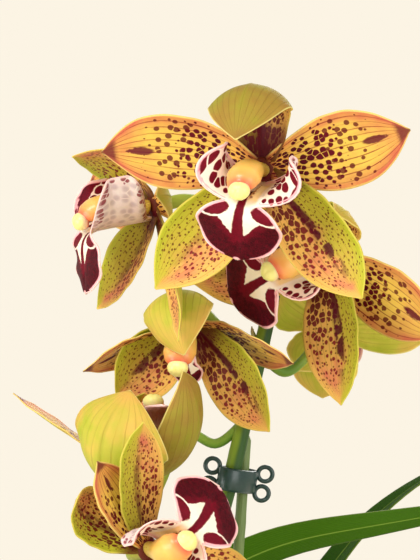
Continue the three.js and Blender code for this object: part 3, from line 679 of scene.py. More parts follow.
def petal_front():
    """Petals: yellow, redder towards rim and tip, with rows of marks, a lone blotch and a dark tip."""
    p = Paint("petal_front")
    u, v, x, y, edge, net = p.layers()
    s = u * 2 - 1
    a = s.size()
    cloud = p.noise(x, y, scale=0.12)
    grain = p.noise(x, y, scale=0.9, detail=4)
    streak = p.noise(u * 14, y * 0.06)
    flush = a.step(0.4, 1.05) * 0.75 + v.step(0.5, 1.02) * 0.6 + cloud * 0.3 + streak * 0.24
    p.ground(flush, (228, 190, 82), (200, 104, 74))
    p.tint(v.step(0.3, 0.02) * 0.55, (236, 150, 76))
    line = veins(u, 11, cloud + streak * 0.5, 0.13)
    p.tint(line * (0.58 + streak * 0.6 + grain * 0.2).share(), (138, 44, 34))
    p.tint(edge.step(0.8, 0.15) * 0.7, (255, 232, 130))
    size = (0.35 + cloud * 0.07 + grain * 0.04 + net * 0.1) * v.step(0.6, 0.4) * a.step(1, 0.6).most(0.5)
    size = size + a.step(0.16, 0.05) * v.step(0.6, 0.5) * 0.12 - edge.step(1.2, 0.2) * 0.3
    spot = p.marks(u * 10 + x * 0.02 + grain * 0.05, y / 2.6 + streak * 0.1, size, 0.07)
    outer = (0.3 + cloud * 0.12) * v.step(0.8, 0.6) * v.step(0.36, 0.46) * a.step(0.98, 0.75)
    low = (v - 0.75 + grain * 0.012) / 0.095
    wide = (s + 0.05 + streak * 0.04) / 0.13
    p.tint(spot, p.blend(v.step(0.1, 0.7), (78, 2, 20), (104, 4, 22)))
    p.tint(p.marks(u * 8, y / 3.6 + 7, outer) * 0.9, (98, 10, 22))
    p.tint((low * low + wide * wide + grain * 0.3).step(1.15, 0.6) * 0.92, (96, 0, 34))
    p.tint((v + grain * 0.008).step(0.885, 0.93) * a.step(1.1, 0.45) * 0.85, (100, 2, 34))
    p.tint(v.step(0.07, 0) * 0.8, (120, 26, 26))
    return p.finish(line * -0.5 + spot * 0.25 + grain * 0.12, glow=0.08, shine=0.15)


def sepal_front(name="sepal_front", hooded=False):
    """Sepals: greener, tiny dots on the outer half, marks on the inner. A hooded one is marked all over."""
    p = Paint(name)
    u, v, x, y, edge, net = p.layers()
    s = u * 2 - 1
    a = s.size()
    cloud = p.noise(x, y, scale=0.13)
    grain = p.noise(x, y, scale=0.9, detail=4)
    streak = p.noise(u * 12, y * 0.07)
    inward = (s + cloud * 0.2).step(-0.35, 0.35)
    p.ground(inward, (190, 180, 54), (228, 178, 90))
    pink = (cloud * 0.7 + v.step(0.25, 0.9) * 0.75 + streak * 0.2 - 0.1).share()
    p.tint(pink * (0.2 + 0.8 * inward) * edge.step(0.8, 4), (210, 112, 88))
    p.tint(a.step(0.5, 0.98) * (1 - inward) * 0.75, (172, 180, 40))
    line = veins(u, 12, cloud + streak * 0.6)
    p.tint(line * (0.4 + streak * 0.25), (150, 116, 26))
    p.tint(edge.step(0.8, 0.15) * 0.55, (232, 214, 100))
    inner = a.step(1, 0.4) if hooded else inward
    reach = v.step(0.86, 0.1) * (0.35 + 0.65 * net)
    size = (reach * 0.36 + 0.21 + cloud * 0.1) * (0.3 + 0.7 * inner)
    size = size * edge.step(0.4, 2.5) * v.step(0.97, 0.75)
    melt = v.step(0.3, 0.1) * net
    spot = p.marks(u * 12 + streak * 0.24, y / 2.9 + grain * 0.07, size + grain * 0.04, 0.07, melt)
    tiny = (0.2 + 0.09 * cloud + grain * 0.03) * v.step(0.98, 0.8) * a.step(1.02, 0.8)
    stripe = (a + streak * 0.04 + grain * 0.012).step(0.17, 0.09)
    stripe = stripe * (v + streak * 0.05 + cloud * 0.05).step(0.92, 0.6)
    chain = p.cells(u * 5 + 0.5, y / 3.6).step(0.56, 0.42)
    stripe = stripe * chain.most(v.step(0.5, 0.35)) * (net * 1.3).least(1)
    p.tint(p.marks(u * 13, y / 2.1 + 3, tiny) * 0.8, (90, 34, 14))
    p.tint(spot * 0.94, p.blend(v.step(0.15, 0.6), (86, 0, 22), (124, 10, 32)))
    p.tint(stripe * 0.95, (86, 4, 26))
    p.tint((v + grain * 0.01 + streak * 0.03 - net * 0.1).step(0.2, 0.02) * 0.85, (90, 6, 22))
    return p.finish(line * -0.5 + spot * 0.2 + grain * 0.12, glow=0.08, shine=0.15)


def tepal_back():
    p = Paint("tepal_back")
    u, v, x, y, edge, net = p.layers()
    a = (u * 2 - 1).size()
    cloud = p.noise(x, y, scale=0.1)
    grain = p.noise(x, y, scale=0.8, detail=4)
    streak = p.noise(u * 12, y * 0.05)
    p.ground(0.45 + cloud * 0.5 + streak * 0.3, (168, 176, 48), (210, 190, 80))
    p.tint(v.step(0.4, 1) * 0.5 + a.step(0.6, 1) * 0.25 + cloud * 0.4 - 0.15, (222, 156, 88))
    p.tint(v.step(0.3, 0) * 0.6, (176, 186, 52))
    p.tint(net.step(0.8, 0.92) * (0.6 + cloud * 0.2), (116, 78, 26))
    line = veins(u, 12, cloud + streak * 0.8, 0.12)
    p.tint(line * (0.16 + 0.3 * net.step(0.5, 1) + streak * 0.4).most(0), (132, 104, 38))
    p.tint(a.step(0.06, 0.01) * v.step(1, 0.6) * 0.4, (150, 150, 40))
    # Painted shade: faint marks where the front's spots show through the tepal.
    p.tint(p.marks(u * 10, y / 2.4, 0.36 * v.step(0.6, 0.2)) * 0.16 * net, (130, 70, 30))
    p.tint(edge.step(0.7, 0.1) * 0.65, (252, 240, 150))
    return p.finish(line * 0.5 + grain * 0.15, 0.55, glow=0.08, shine=0.15)


def lip_front():
    """The lip's inner face. x runs across it and y from foot to tip, in millimetres of a full-sized lip."""
    p = Paint("lip_front")
    x, y, edge = p.layers()[2:5]
    w = x.size()
    grain = p.noise(x, y, scale=0.7, detail=3)
    fine = p.noise(x, y, scale=2.6, detail=3)
    wander = p.noise(x, y, scale=0.22)
    p.ground(wander * 0.4 + 0.4, (255, 244, 230), (252, 232, 200))
    p.tint(w.step(5, 13) * 0.5, (252, 214, 206))
    top = 33.6 - (w - 1.2).most(0) + wander * 1.3 + grain * 0.4
    out, up = (w - 8) / 4.4, (y - 25 - (w - 8) * 0.2) / 2.3
    far = out * out + up * up + grain * 0.25
    blob = far.step(1.15, 0.85)
    crescent = (y - top).step(-0.35, 0.35) * far.step(1.35, 1.75)
    stripe = (w - 1.15 - (y - 20).most(0) * 0.07 + grain * 0.15).step(0.25, -0.2)
    stripe = stripe * y.step(11, 13) * y.step(40, 36)
    size = (0.47 + wander * 0.05) * y.step(23, 19) * w.step(5, 7)
    flecks = p.marks(x / 3 + y * 0.06, y / 3.9 + x * 0.05, size, 0.07)
    dash = (w - 2.4).size().step(0.6, 0.3) * y.step(20.5, 19.5)
    dash = dash * (y * 0.42).saw(0.5).step(0.12, 0.3) * y.step(7, 9)
    callus = (w - 2.9).size().step(2.1, 1.2) * y.step(22.5, 20) * y.step(3, 6)
    p.tint(callus * 0.85, (246, 208, 128))
    p.tint(y.step(9, 2) * 0.6, (226, 160, 90))
    velvet = p.blend(fine * 0.5 + grain * 0.4 + 0.3, (50, 0, 10), (112, 2, 26))
    velvet = p.blend((y - top).step(5, 0.5) * 0.35, velvet, (150, 12, 42))
    for mark in (flecks, dash, blob, stripe, crescent):
        p.tint(mark, velvet)
    rim = p.blend(edge.step(0.2, 1.1), (255, 214, 206), (244, 160, 170))
    p.tint((edge + grain * 0.12).step(1.25, 0.8), rim)
    return p.finish(fine * 0.25 + grain * 0.2, 0.6, bump=0.35, glow=0.08, shine=0.12)


def lip_back():
    p = Paint("lip_back")
    u, v, x, y, edge = p.layers()[:5]
    w = x.size()
    grain = p.noise(x, y, scale=0.8, detail=3)
    cloud = p.noise(x, y, scale=0.2)
    p.ground(cloud * 0.4 + 0.4, (250, 236, 230), (226, 196, 202))
    shade = p.marks(x / 2.9 + y * 0.05, y / 3.4, 0.42 * w.step(2, 6), 0.3) * y.step(24, 19)
    p.tint(shade * 0.5, (172, 140, 152))
    near_rim = p.marks(x / 2.2, y / 2.6, 0.42 * edge.step(3.6, 1.4), 0.1) * y.step(24, 19)
    p.tint(near_rim * 0.9, (140, 20, 46))
    lobe = (y + cloud).step(22, 27)
    p.tint(lobe * 0.8, (196, 112, 128))
    p.tint(lobe * w.step(9, 2) * 0.35, (224, 180, 150))
    p.tint(edge.step(1.1, 0.4) * 0.9, (252, 214, 210))
    p.tint(v.step(0.12, 0) * 0.5, (226, 206, 120))
    return p.finish(veins(u, 14, cloud, 0.12) * 0.3 + grain * 0.2, 0.55, glow=0.15)


def column_skin():
    p = Paint("column_skin")
    u, v, x, y = p.pair("shape") + p.pair("size")
    cloud = p.noise(x, y, scale=0.2)
    p.ground((v + cloud * 0.06).step(0.15, 0.75), (222, 196, 76), (250, 196, 98))
    p.tint((v + cloud * 0.03).step(0.72, 0.98) * 0.8, (244, 146, 84))
    p.tint(v.step(0.9, 0.99) * 0.6, (226, 62, 58))
    # Painted highlight: one side of the column is paler yellow.
    p.tint(u.step(0.7, 1) * v.step(0.6, 0.2) * 0.3, (236, 226, 120))
    p.tint(p.marks(x, y / 1.6, 0.28 * v.step(0.5, 0.1)) * 0.5, (150, 40, 34))
    return p.finish(cloud * 0.2, 0.34, glow=0.2, coat=0.18)


def anther_skin():
    p = Paint("anther_cap")
    _, v, x, y = p.pair("shape") + p.pair("size")
    cloud = p.noise(x, y, scale=0.6)
    p.ground((v + cloud * 0.05).step(0.2, 0.75), (252, 214, 190), (250, 240, 148))
    p.tint((v + cloud * 0.02).step(0.3, 0.12) * 0.7, (224, 96, 90))
    return p.finish(cloud * 0.3, 0.36, glow=0.2, coat=0.15)


def stem_skin():
    """The main stem: painted light on one side and painted shade on the other, and yellower near the ground.
    """
    p = Paint("stem_skin")
    u, _, x, y = p.pair("shape") + p.pair("size")
    px, py, pz = p.place()
    cloud = p.noise(px, py, pz, scale=0.05)
    # Painted light and shade: the stem is lit on one side and darker on the other.
    p.ground((u + cloud * 0.12).step(0.62, 0.3), (44, 80, 30), (122, 146, 40))
    p.tint((cloud * 0.5 + 0.2).share() * 0.5, (92, 128, 38))
    p.tint(pz.step(300, 120) * 0.35, (126, 140, 62))
    return p.finish(p.noise(x, y * 0.15, scale=1.4, detail=3) * 0.35, 0.45, glow=0.06, shine=0.3)


def pedicel_skin():
    """Flower stalks: bright green at the stem, yellower under the bloom, with painted light on one side."""
    p = Paint("pedicel_skin")
    u, v, x, y = p.pair("shape") + p.pair("size")
    cloud = p.noise(*p.place(), scale=0.06)
    p.ground((v + cloud * 0.1).step(0.2, 0.95), (96, 136, 40), (172, 172, 58))
    # Painted light: the stalks are paler on one side.
    p.tint((u + cloud * 0.2).step(0.75, 0.2) * 0.4, (150, 172, 62))
    p.tint(v.step(0.8, 1) * 0.25, (168, 108, 62))
    return p.finish(p.noise(x, y * 0.2, scale=1.4, detail=3) * 0.3, 0.45, glow=0.08, shine=0.3)


def leaf_skin(name, dark, light):
    p = Paint(name)
    u, v, x, y = p.pair("shape") + p.pair("size")
    a = (u * 2 - 1).size()
    cloud = p.noise(x, y, scale=0.018)
    grain = p.noise(x, y * 0.12, scale=1.6, detail=3)
    line = veins(u, 18, cloud, 0.16)
    p.ground(0.4 + cloud * 0.4, dark, light)
    p.tint(line * 0.25, (84, 128, 30))
    p.tint(a.step(0.06, 0.015) * 0.5, (150, 180, 74))
    p.tint(v.step(0.2, 0) * 0.55, (140, 160, 66))
    p.tint((v + grain * 0.004).step(0.985, 0.998) * 0.8, (120, 92, 40))
    p.tint(a.step(0.95, 1) * 0.3, (150, 164, 70))
    rib = a.step(0.05, 0.01) * 0.8
    return p.finish(line * 0.5 + grain * 0.2 - rib, 0.36, bump=0.35, glow=0.03, shine=0.12)


def bulb_skin(name="bulb_skin", papery=False):
    p = Paint(name)
    _, v, x, y = p.pair("shape") + p.pair("size")
    cloud = p.noise(*p.place(), scale=0.06)
    grain = p.noise(x * 1.5, y * 0.1, detail=4)
    line = (x * 0.8 + cloud).saw(0.5).step(0.2, 0.05)
    if papery:
        p.ground(0.5 + grain * 0.4, (176, 168, 96), (206, 190, 132))
        p.tint(v.step(0.55, 1) * 0.7, (150, 112, 62))
        p.tint(line * 0.4, (128, 112, 60))
    else:
        p.ground(0.5 + cloud * 0.4, (112, 124, 56), (146, 150, 80))
        p.tint(line * 0.3, (84, 112, 44))
    return p.finish(line * 0.6 + grain * 0.3, bump=0.5)


def bark_skin(name, tone):
    p = Paint(name)
    px, py, pz = p.place()
    cloud = p.noise(px, py, pz, scale=0.07)
    grain = p.noise(px * 0.5, py, pz, scale=0.5, detail=6)
    layer = p.noise(px, py * 0.3, pz * 2.2, scale=0.35, detail=4)
    tone = rgb(*tone)
    dark, light = [[min(1, c * share) for c in tone[:3]] + [1] for share in (0.42, 2)]
    p.ground(0.5 + layer * 0.5, dark, list(tone))
    p.tint((grain * 0.7 + cloud * 0.4).share() * 0.5, light)
    return p.finish(grain * 0.7 + layer * 0.6, 0.9, bump=0.8, depth=0.9 * MM)


def pot_skin():
    """Fired clay with pale lime stains round its foot and rim."""
    p = Paint("pot_skin")
    px, py, pz = p.place()
    cloud = p.noise(px, py, pz, scale=0.015)
    grain = p.noise(px, py, pz, scale=0.9, detail=5)
    rings = p.noise(px * 0.02, py * 0.02, pz, scale=0.9)
    p.ground(0.5 + cloud * 0.45 + grain * 0.12, (176, 98, 64), (206, 130, 90))
    lime = (cloud + grain * 0.25 - 0.15).step(0.1, 0.9) * (pz.step(46, 8) * 0.8 + pz.step(118, 138) * 0.3)
    p.tint(lime * 0.5, (222, 196, 172))
    return p.finish(grain * 0.35 + rings * 0.3, 0.82, bump=0.45, depth=0.6 * MM)


def stake_skin():
    p = Paint("stake_skin")
    x, y = p.pair("size")
    grain = p.noise(x * 1.2, y * 0.08, detail=4)
    p.ground(0.5 + p.noise(*p.place(), scale=0.05) * 0.5, (96, 122, 66), (128, 148, 86))
    p.tint((grain * 0.5).share() * 0.4, (168, 168, 112))
    return p.finish(grain * 0.5)


def clip_skin():
    p = Paint("clip_skin")
    grain = p.noise(*p.place(), scale=0.8, detail=3)
    p.ground(0.5 + grain * 0.3, (8, 44, 42), (18, 60, 56))
    return p.finish(grain * 0.2, 0.32, bump=0.2, coat=0.3)


SKINS = dict(
    petal=petal_front(), sepal=sepal_front(), hood=sepal_front("hood_front", hooded=True), back=tepal_back(),
    lip=lip_front(), lip_back=lip_back(), column=column_skin(), anther=anther_skin(), stem=stem_skin(),
    pedicel=pedicel_skin(), leaf=leaf_skin("leaf_upper", (26, 66, 1), (48, 86, 2)),
    leaf_under=leaf_skin("leaf_under", (46, 88, 6), (72, 112, 14)), bulb=bulb_skin(),
    sheath=bulb_skin("dry_sheath", papery=True), bark=bark_skin("bark_red", (112, 68, 42)),
    bark_pale=bark_skin("bark_pale", (146, 104, 70)), soil=bark_skin("bark_fine", (70, 46, 32)),
    pot=pot_skin(), stake=stake_skin(), clip=clip_skin(),
)


# Blooms


def turned(yaw, pitch, roll, at):
    """A matrix that rolls a bloom about its own axis, tips its face up by pitch and swings it by yaw."""
    def about_z(angle):
        c, s = cos(radians(angle)), sin(radians(angle))
        return np.array([[c, -s, 0], [s, c, 0], [0, 0, 1]])

    c, s = cos(radians(90 - pitch)), sin(radians(90 - pitch))
    matrix = np.eye(4)
    matrix[:3, :3] = about_z(yaw) @ np.array([[1, 0, 0], [0, c, -s], [0, s, c]]) @ about_z(-roll)
    matrix[:3, 3] = at
    return matrix


def facing(bloom):
    return turned(bloom["yaw"], bloom["pitch"], bloom.get("roll", 0), bloom["at"])


def column_parts(foot):
    """The column, winged and hollow below, and the cleft cap at its end."""
    stations = [foot, (0, 2, 8, 3.6), (0, 3.6, 15, 5), (0, 3.2, 21, COLUMN_RADIUS), (0, 1.4, 26, 4)]

    def swell(t, turn):
        wings = 0.1 * hill(np.sin(turn), -0.35, 0.3) * ramp(t, 0.3, 0.7)
        hollow = -0.26 * hill(turn, 1.5 * np.pi, 0.55) * ramp(t, 0.2, 0.6)
        return wings + hollow - 0.3 * ramp(t, 0.9, 1)

    def cleft(way):
        x, y, z = way.T
        return 0.16 * hill(y, -0.75, 0.3) * hill(x, 0, 0.35) - 0.1 * hill(x, 0, 0.14) * ramp(z, -0.1, 0.5)

    return [stem(stations, 28, 40, swell, 0.78), ball(CAP_AT, CAP_RADII, 28, 18, 1, cleft)]


def hub():
    """The rounded middle of a bloom, coloured like the foot of a sepal."""
    one = ball((0, 0, 0), HUB, 24, 14, 1)
    count = (len(one["points"]), 1)
    one["layers"].update(shape=np.tile([[0.5, 0.03]], count), edge=np.tile([[5, 0.5]], count))
    return one


def build_bloom(name, bloom, number):
    draw = np.random.default_rng(BLOOM_SEED + number)
    place = facing(bloom)
    to_local = np.linalg.inv(place)
    fronts = dict(dorsal=2, left=0, right=0, low_left=1, low_right=1)
    tepals = [hub()]
    for kind, usual in TEPALS.items():
        one = tepal(dict(usual, **bloom.get(kind, {})), to_local, draw, kind == "low_left")
        tepals.append(with_kinds(one, fronts[kind], 3))
    lips = [lip(bloom.get("lip", {}), draw)]
    columns = column_parts(bloom.get("column", COLUMN_FOOT))
    for what, slot, parts, skins in (
            ("tepals", "tepal", tepals, ["petal", "sepal", "hood", "back"]),
            ("lip", "lip", lips, ["lip", "lip_back"]),
            ("column", "column", columns, ["column", "anther"])):
        parts = [placed(one, place) for one in parts]
        make_piece(f"{name}_{what}", parts, skins, [f"bloom_{name}_{what}"])


# The spray


def bract(at, azimuth, size, seed):
    spec = dict(lift=62, length=size[0], width=size[1], cup=90, base=0.7, widest=0.2, hub=1)
    one = tepal(spec, np.eye(4), np.random.default_rng(seed))
    return placed(with_kinds(one, 2), turned(azimuth, 90, 0, at))


def build_spray():
    def joints(t, turn):
        return 0 * turn + 0.05 * hill((t * 22) % 1, 0.5, 0.08)

    def ribs(t, turn):
        return 0.07 * np.cos(3 * turn) * ramp(t, 0.55, 0.75) + 0.12 * ramp(t, 0.08, 0)

    parts = [stem(RACHIS, 24, 150, joints)]
    for number, (name, points) in enumerate(STALKS.items()):
        place = facing(BLOOMS[name])
        line = [(*p, PEDICEL_RADIUS) for p in points]
        line += [(*(place[:3, 2] * z + place[:3, 3]), OVARY_RADIUS) for z in (OVARY_START, OVARY_END)]
        parts.append(with_kinds(stem(line, 18, 44, ribs, seed=number * 11), 1))
        (x, y, z), (next_x, next_y, _) = points[:2]
        azimuth = degrees(atan2(next_y - y, next_x - x))
        parts.append(bract((x, y, z - 2.5), azimuth, SMALL_BRACT, number + BRACT_SEED))
    parts += [bract((x, y, z), azimuth, STEM_BRACT, z) for x, y, z, azimuth in STEM_SCALES]
    make_piece("flower_stems", parts, ["stem", "pedicel", "sheath"], ["flower_spray"])


# Growths: bulbs, dry sheaths and leaves


def leaf(spec, root, draw):
    azimuth, rise, droop, length, sway, width = spec[:6]
    twist, turning = spec[6:] or (0, None)
    fine = 6
    steps = LEAF_ROWS * fine
    t = np.linspace(0, 1, steps + 1)
    around = np.radians(azimuth + sway * t * t)
    bent = ramp(t, *turning) if turning else t ** 1.7
    along = directions(around, np.radians(rise + (droop - rise) * bent))[0]
    line = root + np.vstack([0 * UP, np.cumsum(along[:-1], 0) * length / steps])
    line, along, around, t = (v[::fine] for v in (line, along, around, t))
    flat = np.stack([np.sin(around), -np.cos(around), np.zeros_like(t)], 1)
    turn = radians(twist) * ramp(t, 0, 0.7)[:, None]
    flat = flat * np.cos(turn) + np.cross(along, flat) * np.sin(turn)
    taper = np.maximum(0, 1 - t ** 2.4) ** 0.8
    half = np.maximum(0.5, width / 2 * (0.55 + 0.45 * ramp(t, 0, 0.35)) * taper)
    crease = np.radians(FOLD_AT_FOOT + (FOLD_AT_TIP - FOLD_AT_FOOT) * ramp(t, 0, 0.5))
    u, v = np.linspace(-1, 1, LEAF_CELLS + 1), t[:, None]
    grid, normal = section(line, flat, np.cross(flat, along), half, np.full_like(t, 0.01), crease, u)
    wave = ruffle(u, v, LEAF_WAVE, 2, 14, draw.random(2) * PHASE_RANGE) * ramp(v, 0, 0.3)
    grid, normal = pushed(grid, normal, wave)
    size = pairs(half[:, None] * u + draw.random() * 200, v * length)
    thick = LEAF_THICK * (1 - 0.45 * np.abs(u) ** 3)
    return blade(grid, normal, thick, shape=pairs((1 + u) / 2, v), size=size)


def bulb(x, y, radius, tall):
    path = catmull([(r, 0, z) for r, z in BULB_OUTLINE], np.linspace(0, 1, 50))[0]
    outline = pairs(np.maximum(path[:, 0], 0) * radius, path[:, 2] * tall)

    def ridges(height, turn):
        share = height / tall
        wave = RIDGE_HEIGHT * np.sin(turn * BULB_RIDGES + height * 0.02)
        return wave * ramp(share, 0, 0.2) * ramp(share, 1.15, 0.85)

    one = lathe(outline, BULB_RIDGES * 3, ridges)
    one["points"] += (x, y, BULB_FOOT)
    return one


def sheath(x, y, radius, tall, azimuth, low, high, swell, draw):
    """A dry leaf base that wraps one side of a bulb and ends in a torn point."""
    r, z = np.array(BULB_OUTLINE, float).T
    u, v = np.linspace(-1, 1, SHEATH_CELLS), np.linspace(0, 1, SHEATH_ROWS)[:, None]
    share = low + (high - low) * v
    reach = u * (radians(105) * (1 - v ** 3) ** 0.5 + 0.02)
    angle = radians(azimuth) + reach
    ring = np.interp(share, z, r) * radius + swell + 1.6 * ramp(v, 0.55, 1)
    ring = ring + 0.35 * draw.random(len(u)) * ramp(v, 0.7, 1)
    height = share * tall + 0 * u
    grid = np.stack([x + ring * np.cos(angle), y + ring * np.sin(angle), BULB_FOOT + height], -1)
    normal = surface_normals(grid, np.stack([np.cos(angle), np.sin(angle), 0 * angle], -1))
    return blade(grid, normal, SHEATH_THICK, shape=pairs((1 + u) / 2, v), size=pairs(reach * radius, height))


def build_growth(name, growth, number):
    draw = np.random.default_rng(GROWTH_SEED + number)
    body = (*growth["at"], growth["radius"], growth["tall"])
    x, y, radius, tall = body
    parts = [with_kinds(bulb(*body), 2)]
    for k, (low, high) in enumerate(SHEATHS):
        azimuth = 70 + 137 * k + 31 * number
        parts.append(with_kinds(sheath(*body, azimuth, low, high, 0.5 + 0.5 * k, draw), 3))
    for spec in growth["leaves"]:
        around, upright = radians(spec[0]), spec[1] > 85
        reach = 1 if upright else radius * 0.28
        root = (x + reach * cos(around), y + reach * sin(around), BULB_FOOT + tall * 0.8)
        parts.append(leaf(spec, root, draw))
    make_piece(f"{name}_leaves", parts, ["leaf", "leaf_under", "bulb", "sheath"], [f"growth_{name}"])


# Pot, bark, stake and clip


def merge_centre(mesh):
    """Closes the tiny rings that the lathe leaves on the axis."""
    work = bmesh.new()
    work.from_mesh(mesh)
    bmesh.ops.remove_doubles(work, verts=work.verts, dist=5e-5)
    bmesh.ops.recalc_face_normals(work, faces=work.faces)
    work.to_mesh(mesh)
    work.free()


def build_pot():
    slope = (POT_WAIST - POT_FOOT) / RIM_START
    outline = [
        (AXIS, 0), (POT_FOOT - 3, 0), (POT_FOOT - 1, 1.5), (POT_FOOT + slope * 4, 4), (POT_WAIST, RIM_START),
        (POT_RIM - 3, RIM_START + 2), (POT_RIM - 1, RIM_START + 5), (POT_RIM, POT_HEIGHT - 3),
        (POT_RIM - 1.2, POT_HEIGHT), (POT_RIM - POT_WALL, POT_HEIGHT),
        (POT_RIM - POT_WALL - 1, POT_HEIGHT - 2),
        (POT_WAIST - POT_WALL, RIM_START), (POT_FOOT - POT_WALL, POT_FLOOR + 1),
        (POT_FOOT - POT_WALL - 1, POT_FLOOR), (AXIS, POT_FLOOR),
    ]
    pot = make_piece("pot_body", [lathe(rounded_outline(outline), POT_SIDES)], ["pot"], ["pot"])
    merge_centre(pot.data)
    for i in range(DRAINS):
        angle = radians(45 + 360 / DRAINS * i)
        x, y = DRAIN_RING * cos(angle), DRAIN_RING * sin(angle)
        hole = stem([(x, y, -4, DRAIN_RADIUS), (x, y, POT_FLOOR + 4, DRAIN_RADIUS)], 32, 1)
        mesh = bpy.data.meshes.new("drain")
        mesh.from_pydata((hole["points"] * MM).tolist(), [], hole["faces"])
        cutter = add_object("drain", mesh)
        change = pot.modifiers.new("drain", "BOOLEAN")
        change.operation, change.object, change.solver = "DIFFERENCE", cutter, "EXACT"
        bpy.context.view_layer.objects.active = pot
        bpy.ops.object.modifier_apply(modifier=change.name)
        bpy.data.objects.remove(cutter)


def bark_wall(z):
    """The radius of the filling at a height."""
    return np.interp(z, [POT_FLOOR + 1, RIM_START, POT_HEIGHT - 2],
                     [POT_FOOT - POT_WALL, POT_WAIST - POT_WALL, POT_RIM - 1 - POT_WALL]) - 0.8


def chip(centre, size, draw, material):
    """One chip of bark: a flattened, chipped and slightly curved block."""
    one = with_kinds(ball((0, 0, 0), (1, 1, 1), 9, 6), material)
    block = np.sign(one["points"]) * np.abs(one["points"]) ** 0.55
    block = block * (1 + 0.16 * (draw.random(block.shape) - 0.5))
    block[:, 2] += 0.25 * block[:, 0] ** 2
    one["points"] = block * np.asarray(size) / 2
    turns = draw.random(3)
    return placed(one, turned(360 * turns[0], 90 + 34 * (turns[1] - 0.5), 34 * (turns[2] - 0.5), centre))


def build_bark():
    draw = np.random.default_rng(BARK_SEED)
    outline = [
        (AXIS, BARK_TOP + BARK_MOUND - 3), (bark_wall(BARK_TOP) - 3, BARK_TOP - 3),
        (bark_wall(RIM_START), RIM_START - 3), (bark_wall(POT_FLOOR + 2), POT_FLOOR + 2),
        (AXIS, POT_FLOOR + 0.6)]
    body = lathe(rounded_outline(outline), 64)
    x, y, z = body["points"].T
    body["points"][:, 2] += 0.6 * np.sin(x * 0.7) * np.cos(y * 0.6) * (z > BARK_TOP - 8)
    body["faces"] = [face[::-1] for face in body["faces"]]
    parts = [body]
    keep_out = [(*one["at"], one["radius"] * 0.95 + 4) for one in GROWTHS.values()]
    keep_out += [(*RACHIS[0][:2], 8), STAKE_GAP]
    while len(parts) <= BARK_CHIPS:
        r = (POT_WAIST - 9) * sqrt(draw.random())
        angle = draw.random() * 2 * pi
        x, y = r * cos(angle), r * sin(angle)
        if any(hypot(x - at_x, y - at_y) < gap for at_x, at_y, gap in keep_out):
            continue
        size = np.array(CHIP_SIZE) * (0.55 + 0.6 * draw.random(3))
        z = BARK_TOP - 1.5 + BARK_MOUND * (1 - r / POT_WAIST) + 3.5 * draw.random()
        parts.append(chip((x, y, z), size, draw, int(draw.integers(0, 2)) + 1))
    make_piece("bark_chips", parts, ["soil", "bark", "bark_pale"], ["potting_bark"])


def build_stake():
    foot, top = np.array(STAKE_FOOT, float), np.array(STAKE_TOP, float)

    def nodes(t, turn):
        knots = sum(0.07 * hill(t, at, 0.006) for at in STAKE_KNOTS)
        return 0 * turn + knots - 0.06 - 0.35 * ramp(t, 0.9965, 1)

    line = [(*(foot + (top - foot) * share), STAKE_RADIUS) for share in np.linspace(0, 1, 6)]
    make_piece("stake_rod", [stem(line, 20, 260, nodes)], ["stake"], ["stake"])


def bare(points, faces):
    """A part that its material colours by place alone."""
    none = np.zeros((points.size // 3, 2))
    return part(points, faces, shape=none, size=none)


def clip_ring():
    """The oval band of the clip, a little bulged across its height."""
    outer = [(0, 1), (0.5, 0.94), (1, 0.8)]
    corner = [(w, -h) for w, h in outer] + [(w, h) for w, h in outer[::-1]]
    corner += [(-w, h) for w, h in outer[1:]] + [(-w, -h) for w, h in outer[:0:-1]]
    a, b = (CLIP_LENGTH - CLIP_THICK) / 2, (CLIP_WIDTH - CLIP_THICK) / 2
    turn = circle(72)[:, None]
    out = unit(np.concatenate([np.cos(turn) / a, np.sin(turn) / b], 1))[:, None] * CLIP_THICK / 2
    w, h = np.array(corner).T
    x, y = a * np.cos(turn) + out[..., 0] * w, b * np.sin(turn) + out[..., 1] * w
    points = np.stack([x, y, h * CLIP_TALL / 2 + 0 * x], -1)
    return bare(points, grid_faces(*x.shape, wrap=True, loop=True, flip=True))


def curl(at):
    """A small ring that stands in the plane of the stem."""
    a, b = circle(30)[:, None], circle(12)
    reach = CURL_RADIUS + CURL_WIRE * np.cos(b)
    points = np.stack([reach * np.cos(a), CURL_WIRE * np.sin(b) + 0 * a, reach * np.sin(a)], -1)
    return bare(points + np.array(at), grid_faces(30, 12, wrap=True, loop=True))


def build_clip():
    parts = [placed(clip_ring(), turned(CLIP_TURN, 90, 0, (0, 0, 0)))] + [curl(at) for at in CURLS]
    c, s = cos(radians(CLIP_LEAN)), sin(radians(CLIP_LEAN))
    lean = np.array([[c, 0, s, CLIP_AT[0]], [0, 1, 0, CLIP_AT[1]], [-s, 0, c, CLIP_AT[2]]])
    make_piece("clip_band", [placed(one, lean) for one in parts], ["clip"], ["stem_clip"])


# The stage


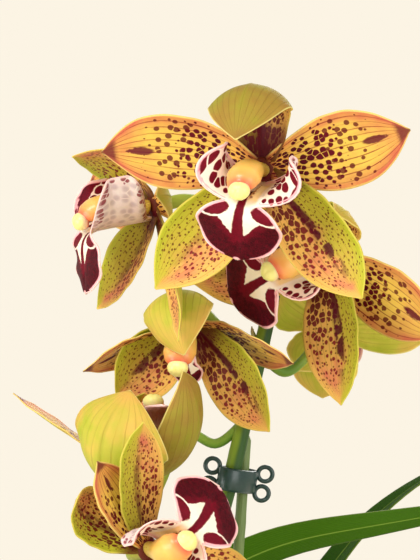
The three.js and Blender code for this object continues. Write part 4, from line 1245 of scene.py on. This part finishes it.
def build_floor():
    bpy.ops.mesh.primitive_circle_add(vertices=96, radius=FLOOR_RADIUS, fill_type="NGON", location=(0, 0, 0))
    floor = bpy.context.object
    floor.name = "floor"
    p = Paint("floor_paint")
    p.ground(p.noise(*p.place(1), scale=2) * 0.1, (240, 234, 220), (234, 227, 212))
    floor.data.materials.append(p.finish(roughness=0.9))


def build_world():
    """A pale surround. What lights the plant is a little dimmer than what shows behind it."""
    world = bpy.data.worlds.new("studio")
    bpy.context.scene.world = world
    world.use_nodes = True
    nodes, links = world.node_tree.nodes, world.node_tree.links
    nodes.clear()
    path, lit, seen, mix, out = (nodes.new(f"ShaderNode{kind}") for kind in (
        "LightPath", "Background", "Background", "MixShader", "OutputWorld"))
    lit.inputs["Color"].default_value = rgb(*SURROUND_LIGHT)
    lit.inputs["Strength"].default_value = SURROUND_POWER
    seen.inputs["Color"].default_value = rgb(*SURROUND_SEEN)
    for slot, source in enumerate((path.outputs["Is Camera Ray"], lit.outputs[0], seen.outputs[0])):
        links.new(source, mix.inputs[slot])
    links.new(mix.outputs[0], out.inputs[0])


def area_light(name, at, aim, size, power, colour):
    light = bpy.data.lights.new(name, "AREA")
    light.size, light.energy, light.color = size, power, colour
    lamp = add_object(name, light)
    lamp.location = at
    lamp.rotation_euler = (Vector(aim) - Vector(at)).to_track_quat("-Z", "Y").to_euler()


def build_camera():
    camera = bpy.data.cameras.new("camera")
    camera.lens = CAMERA_LENS
    camera.sensor_width = SENSOR_WIDTH
    camera.clip_start, camera.clip_end = 0.01, 50
    eye = add_object("camera", camera)
    eye.location = CAMERA_AT
    eye.rotation_euler = (pi / 2, 0, 0)
    bpy.context.scene.camera = eye


bpy.context.scene.view_settings.view_transform = "Standard"
build_camera()
build_floor()
build_world()
for name, lamp in LAMPS.items():
    area_light(name, *lamp)

for number, (name, bloom) in enumerate(BLOOMS.items()):
    build_bloom(name, bloom, number)
build_spray()
for number, (name, growth) in enumerate(GROWTHS.items()):
    build_growth(name, growth, number)
build_pot()
build_bark()
build_stake()
build_clip()
